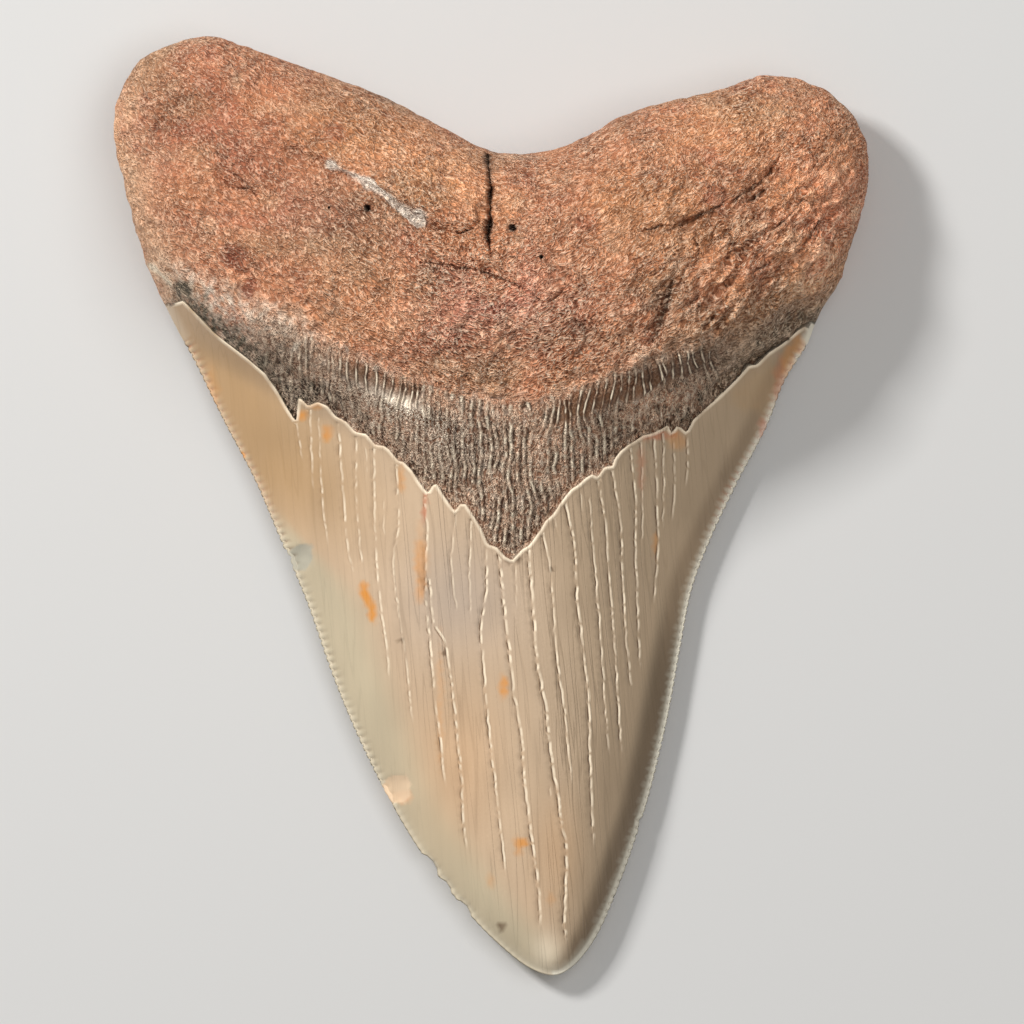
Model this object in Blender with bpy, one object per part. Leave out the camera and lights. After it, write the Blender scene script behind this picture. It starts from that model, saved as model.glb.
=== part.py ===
"""A fossil megalodon tooth, one solid piece.

It lies on its labial face, the flatter one, with the lingual face up. +Y runs from the tip of the crown to the
root, +Z is up, and the origin is in the middle of the tooth's box, on the surface that the tooth lies on.

The shape is two height surfaces, lingual and labial, over one outline. Each is a constrained Delaunay
triangulation of the outline, of the lines that the relief needs and of a fill of points, and the two share the
outline's own points, so together they close into one solid.
"""

import math

import bmesh
import bpy
import numpy as np
from mathutils import Vector, noise
from mathutils.geometry import delaunay_2d_cdt

# Driving dimensions
SLANT = 0.102  # metres from the top of the left root lobe to the tip, the usual measure of such a tooth
DRAWN_SLANT = 102.0  # the drawing below is in millimetres of a tooth with this slant
UNIT = SLANT / DRAWN_SLANT

SERRATION_PITCH = 0.82
SERRATION_DEPTH = 0.2
CUTTING_EDGE_Z = 2.1  # height of the crown's edge above the surface that the tooth lies on
TIP_LIFT = 0.7
ROOT_EDGE_Z = 6.4
ENAMEL_STEP = 0.5  # how far the enamel stands above the root beside it
LABIAL_STEP = 0.25

# The outline: places are x, y from the middle of the tooth's box, clockwise from the left shoulder
ROOT_OUTLINE = [
    (-31.5, 16.9), (-33.6, 21.0), (-35.3, 25.1), (-36.6, 29.2), (-37.6, 33.2), (-38.5, 37.8), (-38.0, 41.9),
    (-35.4, 45.8), (-31.8, 47.3), (-28.9, 47.9), (-24.0, 46.5), (-16.9, 43.9), (-11.2, 41.8), (-5.5, 38.9),
    (-2.2, 37.1), (0.4, 36.1), (4.9, 36.1), (8.8, 37.3), (13.0, 39.7), (17.3, 41.1), (21.6, 42.0), (25.0, 43.1),
    (27.5, 43.9), (31.3, 43.5), (34.8, 41.8), (37.3, 39.0), (38.4, 34.8), (37.9, 30.7), (36.6, 26.6),
    (35.4, 23.0), (33.2, 19.3), (32.1, 16.4),
]
CROWN_OUTLINE = [
    (29.9, 12.9), (28.1, 8.3), (25.2, 2.7), (22.3, -3.4), (20.4, -8.5), (19.3, -14.1), (17.9, -21.7),
    (15.9, -29.9), (13.2, -38.0), (10.5, -44.1), (8.1, -47.0), (6.4, -47.8), (3.9, -47.1), (0.1, -44.1),
    (-3.6, -40.1), (-7.9, -34.3), (-12.6, -25.8), (-16.1, -17.7), (-19.0, -9.5), (-21.6, -3.4), (-24.2, 2.7),
    (-27.4, 8.8), (-30.4, 14.9),
]
TIP = (6.4, -47.8)
SHOULDERS = ((-31.5, 16.9), (32.1, 16.4))
# x, y, radius and depth of each bite out of the edge
CHIPS = [
    (-20.2, -4.9, 1.1, 0.3), (-9.4, -29.6, 1.4, 0.12), (-5.9, -36.2, 1.5, 0.55), (-4.6, -38.5, 1.0, 0.3),
    (-2.7, -40.8, 1.1, 0.35), (15.2, -32.2, 0.7, 0.15),
]

# Heights of the lingual face along the middle of the tooth: y, z
LINGUAL_RIDGE = [
    (-47.8, 2.9), (-46.4, 4.1), (-43.5, 5.3), (-40.0, 6.3), (-30.0, 8.5), (-20.0, 10.1), (-10.0, 11.5), (-4.0, 12.6),
    (1.0, 13.9), (6.0, 15.6), (11.0, 17.6), (16.0, 19.2), (21.0, 20.0), (26.0, 19.7), (31.0, 18.4), (36.0, 16.8),
    (42.0, 15.8), (48.0, 15.2),
]
RIDGE_PLACE = [(-48.0, 0.62), (-38.0, 0.62), (-20.0, 0.56), (0.0, 0.5), (48.0, 0.5)]  # y, share of the width
LOBE_DROP = 5.6  # how much lower the lingual face is LOBE_REACH to the side of the middle
LOBE_REACH = 35.0
LINGUAL_ROUNDING = 8.0
LABIAL_ROUNDING = 5.0
EDGE_FLARE = 0.5  # the crown's faces are hollow this near to the cutting edge
LINGUAL_FULLNESS = 2.1  # how soon a face of the crown reaches its full height from the edge inwards
LABIAL_FULLNESS = 1.8

# The labial face: it rocks up towards both ends of the crown, and is hollow between the root's lobes
CROWN_REST_Y = -14.0  # the place along the crown that is lowest
CROWN_RISE = 0.9  # how much higher the face is CROWN_REACH away from there
CROWN_REACH = 34.0
ROOT_CLEARANCE = 0.5
ROOT_HOLLOW = 1.6

# Relief of the faces: size of the lumps, height of the lumps, seed
ROOT_LUMPS = [(9.0, 0.55, 1.3), (2.6, 0.2, 5.1)]
ENAMEL_LUMPS = (14.0, 0.12, 8.7)
LABIAL_LUMPS = [(8.0, 0.35, 3.9), (2.8, 0.15, 6.2)]
STEP_FADE = 6.0  # how far into the root the step below the enamel is gone
LABIAL_STEP_FADE = 5.0

# Where enamel meets root on the lingual face, left to right
ENAMEL_LINE = [
    (-33.0, 20.6), (-31.3, 20.9), (-28.2, 17.7), (-24.6, 14.9), (-21.8, 11.8), (-19.9, 8.9), (-19.5, 11.0),
    (-17.7, 10.5), (-14.8, 8.6), (-12.7, 7.2), (-9.5, 4.7), (-6.5, 1.5), (-5.5, 2.2), (-3.8, -0.3), (-2.8, 0.3),
    (-0.4, -3.6), (1.3, -5.0), (2.0, -5.6), (3.3, -4.2), (5.4, -1.5), (8.9, 2.3), (12.2, 4.4), (16.4, 7.5),
    (17.9, 8.3), (18.4, 7.6), (20.4, 8.6), (23.2, 11.3), (27.0, 14.5), (31.0, 17.7), (33.0, 18.0),
]
SCALLOP_HEIGHT = 0.3
SCALLOP_PITCH = 1.7
# The upper edge of the ribbed band between enamel and root
BAND_LINE = [
    (-35.0, 24.9), (-29.7, 22.0), (-24.6, 19.8), (-19.5, 17.5), (-14.5, 15.1), (-9.4, 13.2), (-4.3, 11.3),
    (1.3, 10.0), (5.9, 10.8), (11.0, 12.6), (16.1, 14.4), (21.2, 16.1), (26.3, 18.0), (31.3, 20.2), (35.2, 22.4),
]
LABIAL_LINE = [
    (-33.8, 20.2), (-28.7, 18.0), (-23.6, 15.9), (-16.5, 13.1), (-9.4, 10.8), (-3.3, 9.6), (1.3, 9.2), (5.9, 9.6),
    (12.0, 11.0), (19.1, 13.5), (26.3, 16.3), (33.8, 20.2),
]
RIB_PITCH = 0.86
RIB_DEPTH = 0.22

# Furrows in the root's lingual face: route, depth, half width
ROOT_FURROWS = [
    ([(0.0, 36.6), (0.1, 34.0), (0.0, 31.7), (-0.3, 28.9), (-0.2, 26.3)], 1.9, 0.55),
    ([(-20.6, 36.1), (-16.6, 34.5), (-13.0, 32.7), (-10.2, 31.1), (-7.4, 29.0), (-6.3, 28.4)], 0.75, 0.8),
    ([(-4.7, 28.0), (-1.8, 28.0), (-0.7, 28.9)], 0.35, 0.5),
    ([(14.9, 28.0), (17.7, 28.6), (20.8, 29.7), (24.7, 30.7), (27.7, 32.8), (29.1, 33.6)], 1.0, 0.9),
    ([(29.9, 29.5), (31.7, 30.9)], 0.5, 0.7),
    ([(-7.4, 24.1), (-2.0, 24.0), (2.9, 23.3)], 0.3, 0.8),
    ([(17.4, 21.9), (17.2, 20.0), (16.3, 17.5)], 0.4, 0.6),
    ([(5.1, 22.4), (9.3, 23.3)], 0.3, 0.6),
    ([(-8.4, 28.3), (-8.0, 25.0)], 0.25, 0.4),
]
# Pits and hollows in the root's lingual face: x, y, radius, depth
ROOT_PITS = [
    (2.1, 28.2, 0.55, 1.3), (-12.6, 30.2, 0.5, 0.8), (5.0, 25.3, 0.4, 0.5), (-26.3, 25.5, 1.9, 0.6),
    (-24.6, 22.0, 1.5, 0.6), (-16.5, 30.3, 0.4, 0.4), (-34.0, 38.5, 0.6, 0.4),
]
# The long cracks that are wide enough to see from a step away, in the lingual enamel
CROWN_CRACKS = [
    [(-17.3, 8.4), (-17.2, 3.0), (-16.7, -4.2)],
    [(-13.8, 5.8), (-13.8, 1.0), (-13.0, -7.6)],
    [(-12.1, 5.6), (-11.9, -3.2), (-11.2, -11.5), (-10.5, -18.0)],
    [(-9.7, 3.2), (-9.6, -1.9), (-9.4, -12.0), (-8.1, -22.2)],
    [(-6.8, 1.2), (-6.8, -8.0), (-5.8, -19.9), (-4.8, -28.7)],
    [(-6.3, -7.3), (-4.3, -17.3), (-3.2, -27.7), (-2.5, -35.1)],
    [(-3.8, -0.6), (-4.2, -5.5), (-3.5, -11.5)],
    [(-0.6, -4.4), (-1.1, -12.0), (-0.3, -23.3), (0.8, -32.9), (1.3, -38.3)],
    [(0.8, -5.4), (1.7, -14.7), (3.0, -23.3), (3.9, -32.9), (4.9, -43.0)],
    [(3.7, -4.4), (4.6, -16.0), (5.9, -25.1), (7.4, -34.5), (7.5, -44.5)],
    [(5.3, -2.6), (6.3, -12.0), (7.2, -20.0), (8.1, -28.4)],
    [(7.6, 0.1), (9.3, -14.7), (10.1, -22.0), (10.3, -35.0)],
    [(9.9, 0.0), (11.2, -11.6), (12.0, -20.0), (12.0, -25.6)],
    [(12.1, 3.8), (13.3, -7.7), (14.2, -19.1)],
    [(14.0, 5.7), (14.6, -5.0), (15.0, -16.5)],
    [(16.5, 6.5), (16.6, -5.0), (16.4, -10.1)],
    [(18.6, 6.8), (18.6, -1.8)],
]
CRACK_DEPTH = 0.28
CRACK_HALF_WIDTH = 0.32

# The three places where the labial face touches the surface: x, y, radius of the flat
CONTACTS = [(-27.5, 36.5, 3.0), (28.0, 34.0, 3.0), (0.5, -14.0, 3.0)]

# Fineness of the mesh
ROOT_STEP = 1.35
LINGUAL_FILL = 1.42
LABIAL_FILL = 2.3
LINGUAL_RINGS = [0.5, 1.4, 2.7]
LABIAL_RINGS = [0.6, 2.0]
RING_STEP = 1.35
BEHIND_CREST = 0.42

ROOT_COLOUR = (0.40, 0.20, 0.13, 1.0)
ENAMEL_COLOUR = (0.50, 0.41, 0.30, 1.0)


def smooth_step(low, high, value):
    share = np.clip((value - low) / (high - low), 0.0, 1.0)
    return share * share * (3.0 - 2.0 * share)


def smooth_curve(stops, step, closed=False):
    """Points about a step apart on a centripetal Catmull-Rom curve through the stops."""
    stops = np.array(stops, float)
    if closed:
        line = np.vstack([stops[-1], stops, stops[0], stops[1]])
    else:
        line = np.vstack([2 * stops[0] - stops[1], stops, 2 * stops[-1] - stops[-2]])
    fine = []
    for a, b, c, d in zip(line, line[1:], line[2:], line[3:]):
        t1 = math.sqrt(math.dist(a, b))
        t2 = t1 + math.sqrt(math.dist(b, c))
        t3 = t2 + math.sqrt(math.dist(c, d))
        for t in np.linspace(t1, t2, 16, endpoint=False):
            ab = a + (b - a) * (t / t1)
            bc = b + (c - b) * ((t - t1) / (t2 - t1))
            cd = c + (d - c) * ((t - t2) / (t3 - t2))
            first = ab + (bc - ab) * (t / t2)
            second = bc + (cd - bc) * ((t - t1) / (t3 - t1))
            fine.append(first + (second - first) * ((t - t1) / (t2 - t1)))
    fine.append(stops[0] if closed else stops[-1])
    fine = np.array(fine)
    run = np.concatenate([[0.0], np.cumsum(np.hypot(*np.diff(fine, axis=0).T))])
    count = max(2, round(run[-1] / step) + 1)
    places = np.linspace(0.0, run[-1], count)
    return np.stack([np.interp(places, run, fine[:, 0]), np.interp(places, run, fine[:, 1])], axis=1)


def along(stations, place, step=0.25):
    """A smooth value at each place, through stations of place and value."""
    curve = smooth_curve(stations, step)
    return np.interp(place, curve[:, 0], curve[:, 1])


SMOOTH_EDGE = smooth_curve(ROOT_OUTLINE + CROWN_OUTLINE, 0.4, closed=True)
LOWEST = int(np.argmin(SMOOTH_EDGE[:, 1]))
LEFT_TOP = int(np.argmax(np.where(SMOOTH_EDGE[:, 0] < 0, SMOOTH_EDGE[:, 1], -99.0)))
RIGHT_TOP = int(np.argmax(np.where(SMOOTH_EDGE[:, 0] > 0, SMOOTH_EDGE[:, 1], -99.0)))
LEFT_SIDE = np.vstack([SMOOTH_EDGE[LOWEST:-1], SMOOTH_EDGE[: LEFT_TOP + 1]])
RIGHT_SIDE = SMOOTH_EDGE[RIGHT_TOP : LOWEST + 1][::-1]


def to_line(points, line):
    """The distance from each point to the nearest place of a line of points."""
    nearest = np.full(len(points), np.inf)
    for a, b in zip(line, line[1:]):
        run = b - a
        share = np.clip(((points - a) @ run) / (run @ run), 0.0, 1.0)
        away = points - a - share[:, None] * run
        nearest = np.minimum(nearest, np.hypot(away[:, 0], away[:, 1]))
    return nearest


def lumps(points, size, seed):
    """Smooth noise from about -1 to 1, with lumps of about the given size."""
    return np.array([noise.fractal(Vector((x / size, y / size, seed)), 0.8, 2.0, 2) for x, y in points])


def across_crown(points, ridge):
    """0 at the cutting edges and 1 at the ridge, which lies at a share of the width."""
    x, y = points.T
    left = np.interp(y, LEFT_SIDE[:, 1], LEFT_SIDE[:, 0])
    right = np.interp(y, RIGHT_SIDE[:, 1], RIGHT_SIDE[:, 0])
    middle = left + (right - left) * ridge
    reach = np.where(x < middle, (x - left) / (middle - left + 1e-6), (right - x) / (right - middle + 1e-6))
    return np.clip(reach, 0.0, 1.0)


def above_crown(points):
    """How far a point is towards the root from the V where the crown ends."""
    return points[:, 1] - 1.0 - 0.53 * np.abs(points[:, 0])


def edge_height(points):
    y = points[:, 1]
    crown = CUTTING_EDGE_Z + TIP_LIFT * np.clip((-15.0 - y) / 33.0, 0.0, 1.0) ** 2
    return crown + (ROOT_EDGE_Z - crown) * smooth_step(-1.0, 9.0, above_crown(points))


def rounded(distance, radius):
    return np.sqrt(1.0 - (1.0 - np.clip(distance / radius, 0.0, 1.0)) ** 2)


def enamel_line_y(x):
    """The enamel's edge, with the small scallops between the cracks."""
    line = np.interp(x, *np.array(ENAMEL_LINE).T)
    return line + SCALLOP_HEIGHT * (np.abs(np.sin(x * math.pi / SCALLOP_PITCH)) - 2.0 / 3.0)


def furrow_depth(points, route, depth, half_width):
    away = to_line(points, smooth_curve(route, 0.5))
    return depth * np.exp(-((away / half_width) ** 2))


def lingual_height(points):
    x, y = points.T
    distance = to_line(points, SMOOTH_EDGE)
    edge = edge_height(points)
    root_share = smooth_step(-2.0, 6.0, above_crown(points))
    ridge = along(LINGUAL_RIDGE, y) - LOBE_DROP * (np.abs(x) / LOBE_REACH) ** 2
    reach = across_crown(points, along(RIDGE_PLACE, y))
    crown = (1.0 - (1.0 - reach) ** LINGUAL_FULLNESS) * distance**2 / (distance**2 + EDGE_FLARE**2)
    height = edge + (ridge - edge) * (crown + (rounded(distance, LINGUAL_ROUNDING) - crown) * root_share)

    inner = smooth_step(0.1, 2.5, distance)
    past_enamel = y - enamel_line_y(x)
    root = smooth_step(-0.05, 0.05, past_enamel)
    band = np.interp(x, *np.array(BAND_LINE).T)
    height -= inner * root * ENAMEL_STEP * np.exp(-np.clip(past_enamel, 0.0, None) / STEP_FADE)
    ribs = root * smooth_step(0.4, -0.4, y - band)
    height -= inner * ribs * RIB_DEPTH * (0.5 - 0.5 * np.cos(2.0 * math.pi * x / RIB_PITCH))
    rough = inner * root * smooth_step(-1.0, 1.0, y - band)
    for size, high, seed in ROOT_LUMPS:
        height += rough * high * lumps(points, size, seed)
    size, high, seed = ENAMEL_LUMPS
    height += inner * (1.0 - root) * high * lumps(points, size, seed)
    for route, depth, half_width in ROOT_FURROWS:
        height -= inner * furrow_depth(points, route, depth, half_width)
    for px, py, radius, depth in ROOT_PITS:
        height -= depth * np.exp(-((np.hypot(x - px, y - py) / radius) ** 2))
    for route in CROWN_CRACKS:
        away = to_line(points, smooth_curve(route, 1.0))
        height -= (1.0 - root) * CRACK_DEPTH * np.clip(1.0 - away / CRACK_HALF_WIDTH, 0.0, 1.0)
    return height


def labial_height(points):
    x, y = points.T
    distance = to_line(points, SMOOTH_EDGE)
    edge = edge_height(points)
    root_share = smooth_step(-1.0, 5.0, above_crown(points))
    reach = across_crown(points, 0.5)
    crown = (1.0 - (1.0 - reach) ** LABIAL_FULLNESS) * distance / (distance + EDGE_FLARE)
    low_crown = CROWN_RISE * ((y - CROWN_REST_Y) / CROWN_REACH) ** 2
    low_root = ROOT_CLEARANCE + ROOT_HOLLOW * smooth_step(26.0, 4.0, np.abs(x)) * smooth_step(6.0, 24.0, y)
    floor = low_crown + (low_root - low_crown) * smooth_step(0.0, 14.0, y)
    height = edge - (edge - floor) * (crown + (rounded(distance, LABIAL_ROUNDING) - crown) * root_share)

    inner = smooth_step(0.1, 2.5, distance)
    line = np.interp(x, *np.array(LABIAL_LINE).T)
    root = smooth_step(-0.05, 0.05, y - line)
    height += inner * root * LABIAL_STEP * np.exp(-np.clip(y - line, 0.0, None) / LABIAL_STEP_FADE)
    for size, high, seed in LABIAL_LUMPS:
        height += inner * root * high * lumps(points, size, seed)
    for cx, cy, radius in CONTACTS:
        height *= smooth_step(radius, 3.2 * radius, np.hypot(x - cx, y - cy))
    return np.clip(height, 0.0, None)


def bite(point):
    """How far the chips push an outline point inwards."""
    deepest = 0.0
    for cx, cy, radius, depth in CHIPS:
        away = math.dist(point, (cx, cy)) / radius
        deepest = max(deepest, depth * (1.0 - away * away))
    return deepest


def outline():
    """The tooth's outline, clockwise, a lumpy root and two serrated cutting edges, and a point behind each crest."""
    whole = smooth_curve(ROOT_OUTLINE + CROWN_OUTLINE, 0.05, closed=True)[:-1]
    turn = [int(np.argmin(np.hypot(*(whole - place).T))) for place in SHOULDERS]
    root = whole[turn[0] : turn[1]]
    crown = np.vstack([whole[turn[1] :], whole[: turn[0] + 1]])
    steps = round(len(root) * 0.05 / ROOT_STEP)
    root = root[np.linspace(0, len(root) - 1, steps).astype(int)]
    wobble = [[noise.noise(Vector((x, y, z)) * 0.6) for z in (0.4, 8.4)] for x, y in root]
    root = root + 0.12 * np.array(wobble)
    teeth = round(len(crown) * 0.05 / SERRATION_PITCH)
    place = np.linspace(0, len(crown) - 1, 2 * teeth + 1).astype(int)[1:-1]
    ahead = crown[np.minimum(place + 4, len(crown) - 1)] - crown[place - 4]
    inward = np.stack([ahead[:, 1], -ahead[:, 0]], axis=1) / np.hypot(*ahead.T)[:, None]
    cut = crown[place]
    worn = smooth_step(2.0, 9.0, np.hypot(*(cut - TIP).T))
    valley = np.arange(len(cut)) % 2 == 0
    bites = np.array([bite(point) for point in cut])
    behind = (cut + inward * (BEHIND_CREST + bites)[:, None])[~valley]
    cut = cut + inward * (valley * SERRATION_DEPTH * worn + bites)[:, None]
    return np.vstack([root, cut]), behind


def rings(distances, step):
    """Points on lines inside the outline, at these distances from it."""
    edge = smooth_curve(ROOT_OUTLINE + CROWN_OUTLINE, step, closed=True)[:-1]
    ahead = np.roll(edge, -1, axis=0) - np.roll(edge, 1, axis=0)
    inward = np.stack([ahead[:, 1], -ahead[:, 0]], axis=1) / np.hypot(*ahead.T)[:, None]
    found = []
    for distance in distances:
        ring = edge + inward * distance
        found.append(ring[to_line(ring, SMOOTH_EDGE) > 0.9 * distance])
    return np.vstack(found)


def inside(points):
    """True for the points within the smooth outline."""
    crossings = np.zeros(len(points), int)
    for a, b in zip(SMOOTH_EDGE, SMOOTH_EDGE[1:]):
        spans = (a[1] > points[:, 1]) != (b[1] > points[:, 1])
        if spans.any():
            at = a[0] + (points[:, 1] - a[1]) * (b[0] - a[0]) / (b[1] - a[1] + 1e-12)
            crossings += spans & (points[:, 0] < at)
    return crossings % 2 == 1


def fill(step, margin):
    """A triangular grid of points inside the outline, a margin away from it."""
    rows = []
    for row, y in enumerate(np.arange(-50.0, 50.0, step * math.sqrt(3) / 2)):
        xs = np.arange(-40.0, 40.0, step) + (row % 2) * step / 2
        rows.append(np.stack([xs, np.full(len(xs), y)], axis=1))
    grid = np.vstack(rows)
    grid = grid[inside(grid)]
    return grid[to_line(grid, SMOOTH_EDGE) > margin]


def beside(route, offset, step):
    """The points of a route moved sideways."""
    line = smooth_curve(route, step)
    ahead = np.gradient(line, axis=0)
    sideways = np.stack([-ahead[:, 1], ahead[:, 0]], axis=1) / np.hypot(*ahead.T)[:, None]
    return line + sideways * offset


def lingual_lines():
    """The lines that the lingual relief needs: the enamel's edge, the ribs, the cracks and the furrows."""
    lines = []
    xs = np.arange(-31.2, 31.5, 0.85)
    for offset in (-0.12, 0.12):
        lines.append(np.stack([xs, enamel_line_y(xs) + offset], axis=1))
    low, high = math.ceil(-27.0 / RIB_PITCH), math.floor(27.0 / RIB_PITCH)
    for half in range(2 * low, 2 * high + 1):
        x = half * RIB_PITCH / 2
        bottom = float(enamel_line_y(x)) + 0.7
        top = float(np.interp(x, *np.array(BAND_LINE).T)) - 0.5
        if top - bottom > 1.0:
            rows = max(2, round((top - bottom) / 2.6) + 1)
            lines.append(np.stack([np.full(rows, x), np.linspace(bottom, top, rows)], axis=1))
    for route in CROWN_CRACKS:
        for offset in (-CRACK_HALF_WIDTH, 0.0, CRACK_HALF_WIDTH):
            line = beside(route, offset, 3.0)
            lines.append(line[line[:, 1] < enamel_line_y(line[:, 0]) - 0.4])
    for route, depth, half_width in ROOT_FURROWS:
        for offset in (-1.4 * half_width, 0.0, 1.4 * half_width):
            lines.append(beside(route, offset, 1.3))
    for x, y, radius, depth in ROOT_PITS:
        turns = np.linspace(0.0, 2.0 * math.pi, 7)[:-1]
        lines.append(np.array([(x, y)]))
        lines.append(np.stack([x + 1.3 * radius * np.cos(turns), y + 1.3 * radius * np.sin(turns)], axis=1))
    return lines


def labial_lines():
    """The enamel's edge and the three flats."""
    xs = np.arange(-32.5, 32.6, 1.6)
    line = np.interp(xs, *np.array(LABIAL_LINE).T)
    lines = [np.stack([xs, line + offset], axis=1) for offset in (-0.15, 0.15)]
    for x, y, radius in CONTACTS:
        turns = np.linspace(0.0, 2.0 * math.pi, 13)[:-1]
        lines.append(np.stack([x + radius * np.cos(turns), y + radius * np.sin(turns)], axis=1))
    return lines


def clear_of(points, fixed, gap):
    """The points that keep this gap to every fixed one."""
    kept = []
    for start in range(0, len(points), 400):
        part = points[start : start + 400]
        nearest = np.hypot(*(part[:, None] - fixed[None]).transpose(2, 0, 1)).min(axis=1)
        kept.append(part[nearest > gap])
    return np.vstack(kept)


def triangulated(edge, behind, lines, loose, gap):
    """The places and triangles of one face. Its first places are the outline's."""
    places, folds = [edge, behind], []
    for line in lines:
        clear = inside(line) & (to_line(line, SMOOTH_EDGE) > 2 * BEHIND_CREST)
        first = sum(len(part) for part in places)
        number = first + np.cumsum(clear) - 1
        folds += [(int(number[i]), int(number[i + 1])) for i in range(len(line) - 1) if clear[i] and clear[i + 1]]
        places.append(line[clear])
    loose = clear_of(clear_of(loose, np.vstack(places[2:]), gap), behind, BEHIND_CREST)
    places = np.vstack([*places, loose])
    rim = [list(range(len(edge)))]
    for _ in range(3):
        found, _, faces, origins, _, _ = delaunay_2d_cdt([Vector(place) for place in places], folds, rim, 1, 1e-5)
        order = sorted(range(len(found)), key=lambda i: (min(origins[i] or [len(places)]), i))
        new = {old: i for i, old in enumerate(order)}
        faces = [[new[i] for i in face] for face in faces]
        flat = [face for face in faces if max(face) < len(edge)]
        if not flat:
            break
        # A triangle between three outline points would be the same on both faces, so it gets a point of its own
        places = np.vstack([places, [places[face].mean(axis=0) for face in flat]])
    return np.array([found[i] for i in order]), faces


def tooth_mesh():
    edge, behind = outline()
    lingual_fill = np.vstack([rings(LINGUAL_RINGS, RING_STEP), fill(LINGUAL_FILL, LINGUAL_RINGS[-1] + 0.8)])
    labial_fill = np.vstack([rings(LABIAL_RINGS, 1.2 * RING_STEP), fill(LABIAL_FILL, LABIAL_RINGS[-1] + 1.3)])
    top, top_faces = triangulated(edge, behind, lingual_lines(), lingual_fill, 0.75)
    under, under_faces = triangulated(edge, behind, labial_lines(), labial_fill, 1.4)
    count = len(edge)
    top_z = np.concatenate([edge_height(top[:count]), lingual_height(top[count:])])
    under_z = labial_height(under[count:])
    points = np.vstack([
        np.column_stack([top, top_z]),
        np.column_stack([under[count:], under_z]),
    ])
    low, high = edge.min(axis=0), edge.max(axis=0)
    points[:, :2] -= (low + high) / 2
    points *= UNIT

    shape = bmesh.new()
    verts = [shape.verts.new(point) for point in points]
    for face in top_faces:
        shape.faces.new([verts[i] for i in face])
    for face in under_faces:
        shape.faces.new([verts[i if i < count else i + len(top) - count] for i in reversed(face)])
    for face in shape.faces:
        x, y = (value / UNIT for value in face.calc_center_median()[:2])
        line = enamel_line_y(x) if face.normal.z > 0 else np.interp(x, *np.array(LABIAL_LINE).T)
        face.material_index = int(y < line)
    mesh = bpy.data.meshes.new("tooth")
    shape.to_mesh(mesh)
    shape.free()
    return mesh


def plain_material(name, colour, roughness):
    material = bpy.data.materials.new(name)
    material.use_nodes = True
    shader = material.node_tree.nodes["Principled BSDF"]
    shader.inputs["Base Color"].default_value = colour
    shader.inputs["Roughness"].default_value = roughness
    shader.inputs["Metallic"].default_value = 0.0
    return material


def main():
    for old in list(bpy.data.objects):
        bpy.data.objects.remove(old, do_unlink=True)
    group = bpy.data.collections.new("fossil_tooth")
    bpy.context.scene.collection.children.link(group)
    mesh = tooth_mesh()
    mesh.materials.append(plain_material("root", ROOT_COLOUR, 0.75))
    mesh.materials.append(plain_material("enamel", ENAMEL_COLOUR, 0.4))
    mesh.shade_smooth()
    mesh.set_sharp_from_angle(angle=math.radians(50.0))
    tooth = bpy.data.objects.new("tooth", mesh)
    group.objects.link(tooth)


main()
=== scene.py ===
"""The looks of a fossil megalodon tooth on its labial face: one finely modelled piece over the CAD solid."""

import math

import bpy
import numpy as np
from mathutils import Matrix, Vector, noise
from mathutils.geometry import delaunay_2d_cdt
from mathutils.kdtree import KDTree


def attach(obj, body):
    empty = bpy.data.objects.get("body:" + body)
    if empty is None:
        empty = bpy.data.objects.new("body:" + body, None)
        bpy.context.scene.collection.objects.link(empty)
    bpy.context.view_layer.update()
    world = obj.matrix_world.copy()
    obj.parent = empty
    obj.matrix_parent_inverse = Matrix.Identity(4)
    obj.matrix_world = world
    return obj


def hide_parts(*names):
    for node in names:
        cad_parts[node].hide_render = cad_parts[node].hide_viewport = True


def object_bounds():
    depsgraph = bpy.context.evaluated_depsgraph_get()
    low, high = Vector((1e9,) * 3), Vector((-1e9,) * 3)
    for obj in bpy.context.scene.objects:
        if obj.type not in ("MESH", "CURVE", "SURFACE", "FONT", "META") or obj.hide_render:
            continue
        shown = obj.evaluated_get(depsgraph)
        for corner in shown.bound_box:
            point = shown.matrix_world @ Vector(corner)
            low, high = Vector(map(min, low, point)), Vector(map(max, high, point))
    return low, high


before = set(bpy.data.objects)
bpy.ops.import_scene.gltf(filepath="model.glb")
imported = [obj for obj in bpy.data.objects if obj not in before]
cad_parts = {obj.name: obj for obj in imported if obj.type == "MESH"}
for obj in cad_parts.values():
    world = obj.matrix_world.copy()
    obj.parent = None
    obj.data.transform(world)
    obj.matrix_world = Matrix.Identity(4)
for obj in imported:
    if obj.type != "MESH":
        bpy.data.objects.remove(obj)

CAD_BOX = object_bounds()

# Sizes are in millimetres of a tooth with this slant. Places are x, y from the middle of the drawing.
SLANT = 0.102  # metres, from the top of the left root lobe to the tip
DRAWN_SLANT = 102.0
UNIT = SLANT / DRAWN_SLANT
PHOTO_SLANT = 1001.0  # the slant in the photo's pixels
PHOTO_MIDDLE = (492.0, 506.5)
PIXEL = DRAWN_SLANT / PHOTO_SLANT
PHOTO_SIDE = 1024

SERRATION_PITCH = 0.82
SERRATION_DEPTH = 0.17
CUTTING_EDGE_Z = 2.1
TIP_LIFT = 0.7
TIP_LIFT_START = -15.0
TIP_LIFT_REACH = 33.0
ROOT_EDGE_Z = 6.4
CROWN_V_Y = 1.0  # the lowest place of the V where the crown ends, and how steep its arms are
CROWN_V_SLOPE = 0.53
ENAMEL_STEP = 0.5  # how far the enamel stands above the root beside it, and where that has faded
ENAMEL_STEP_FADE = 6.0
LABIAL_STEP = 0.25
LABIAL_STEP_FADE = 5.0

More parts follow.
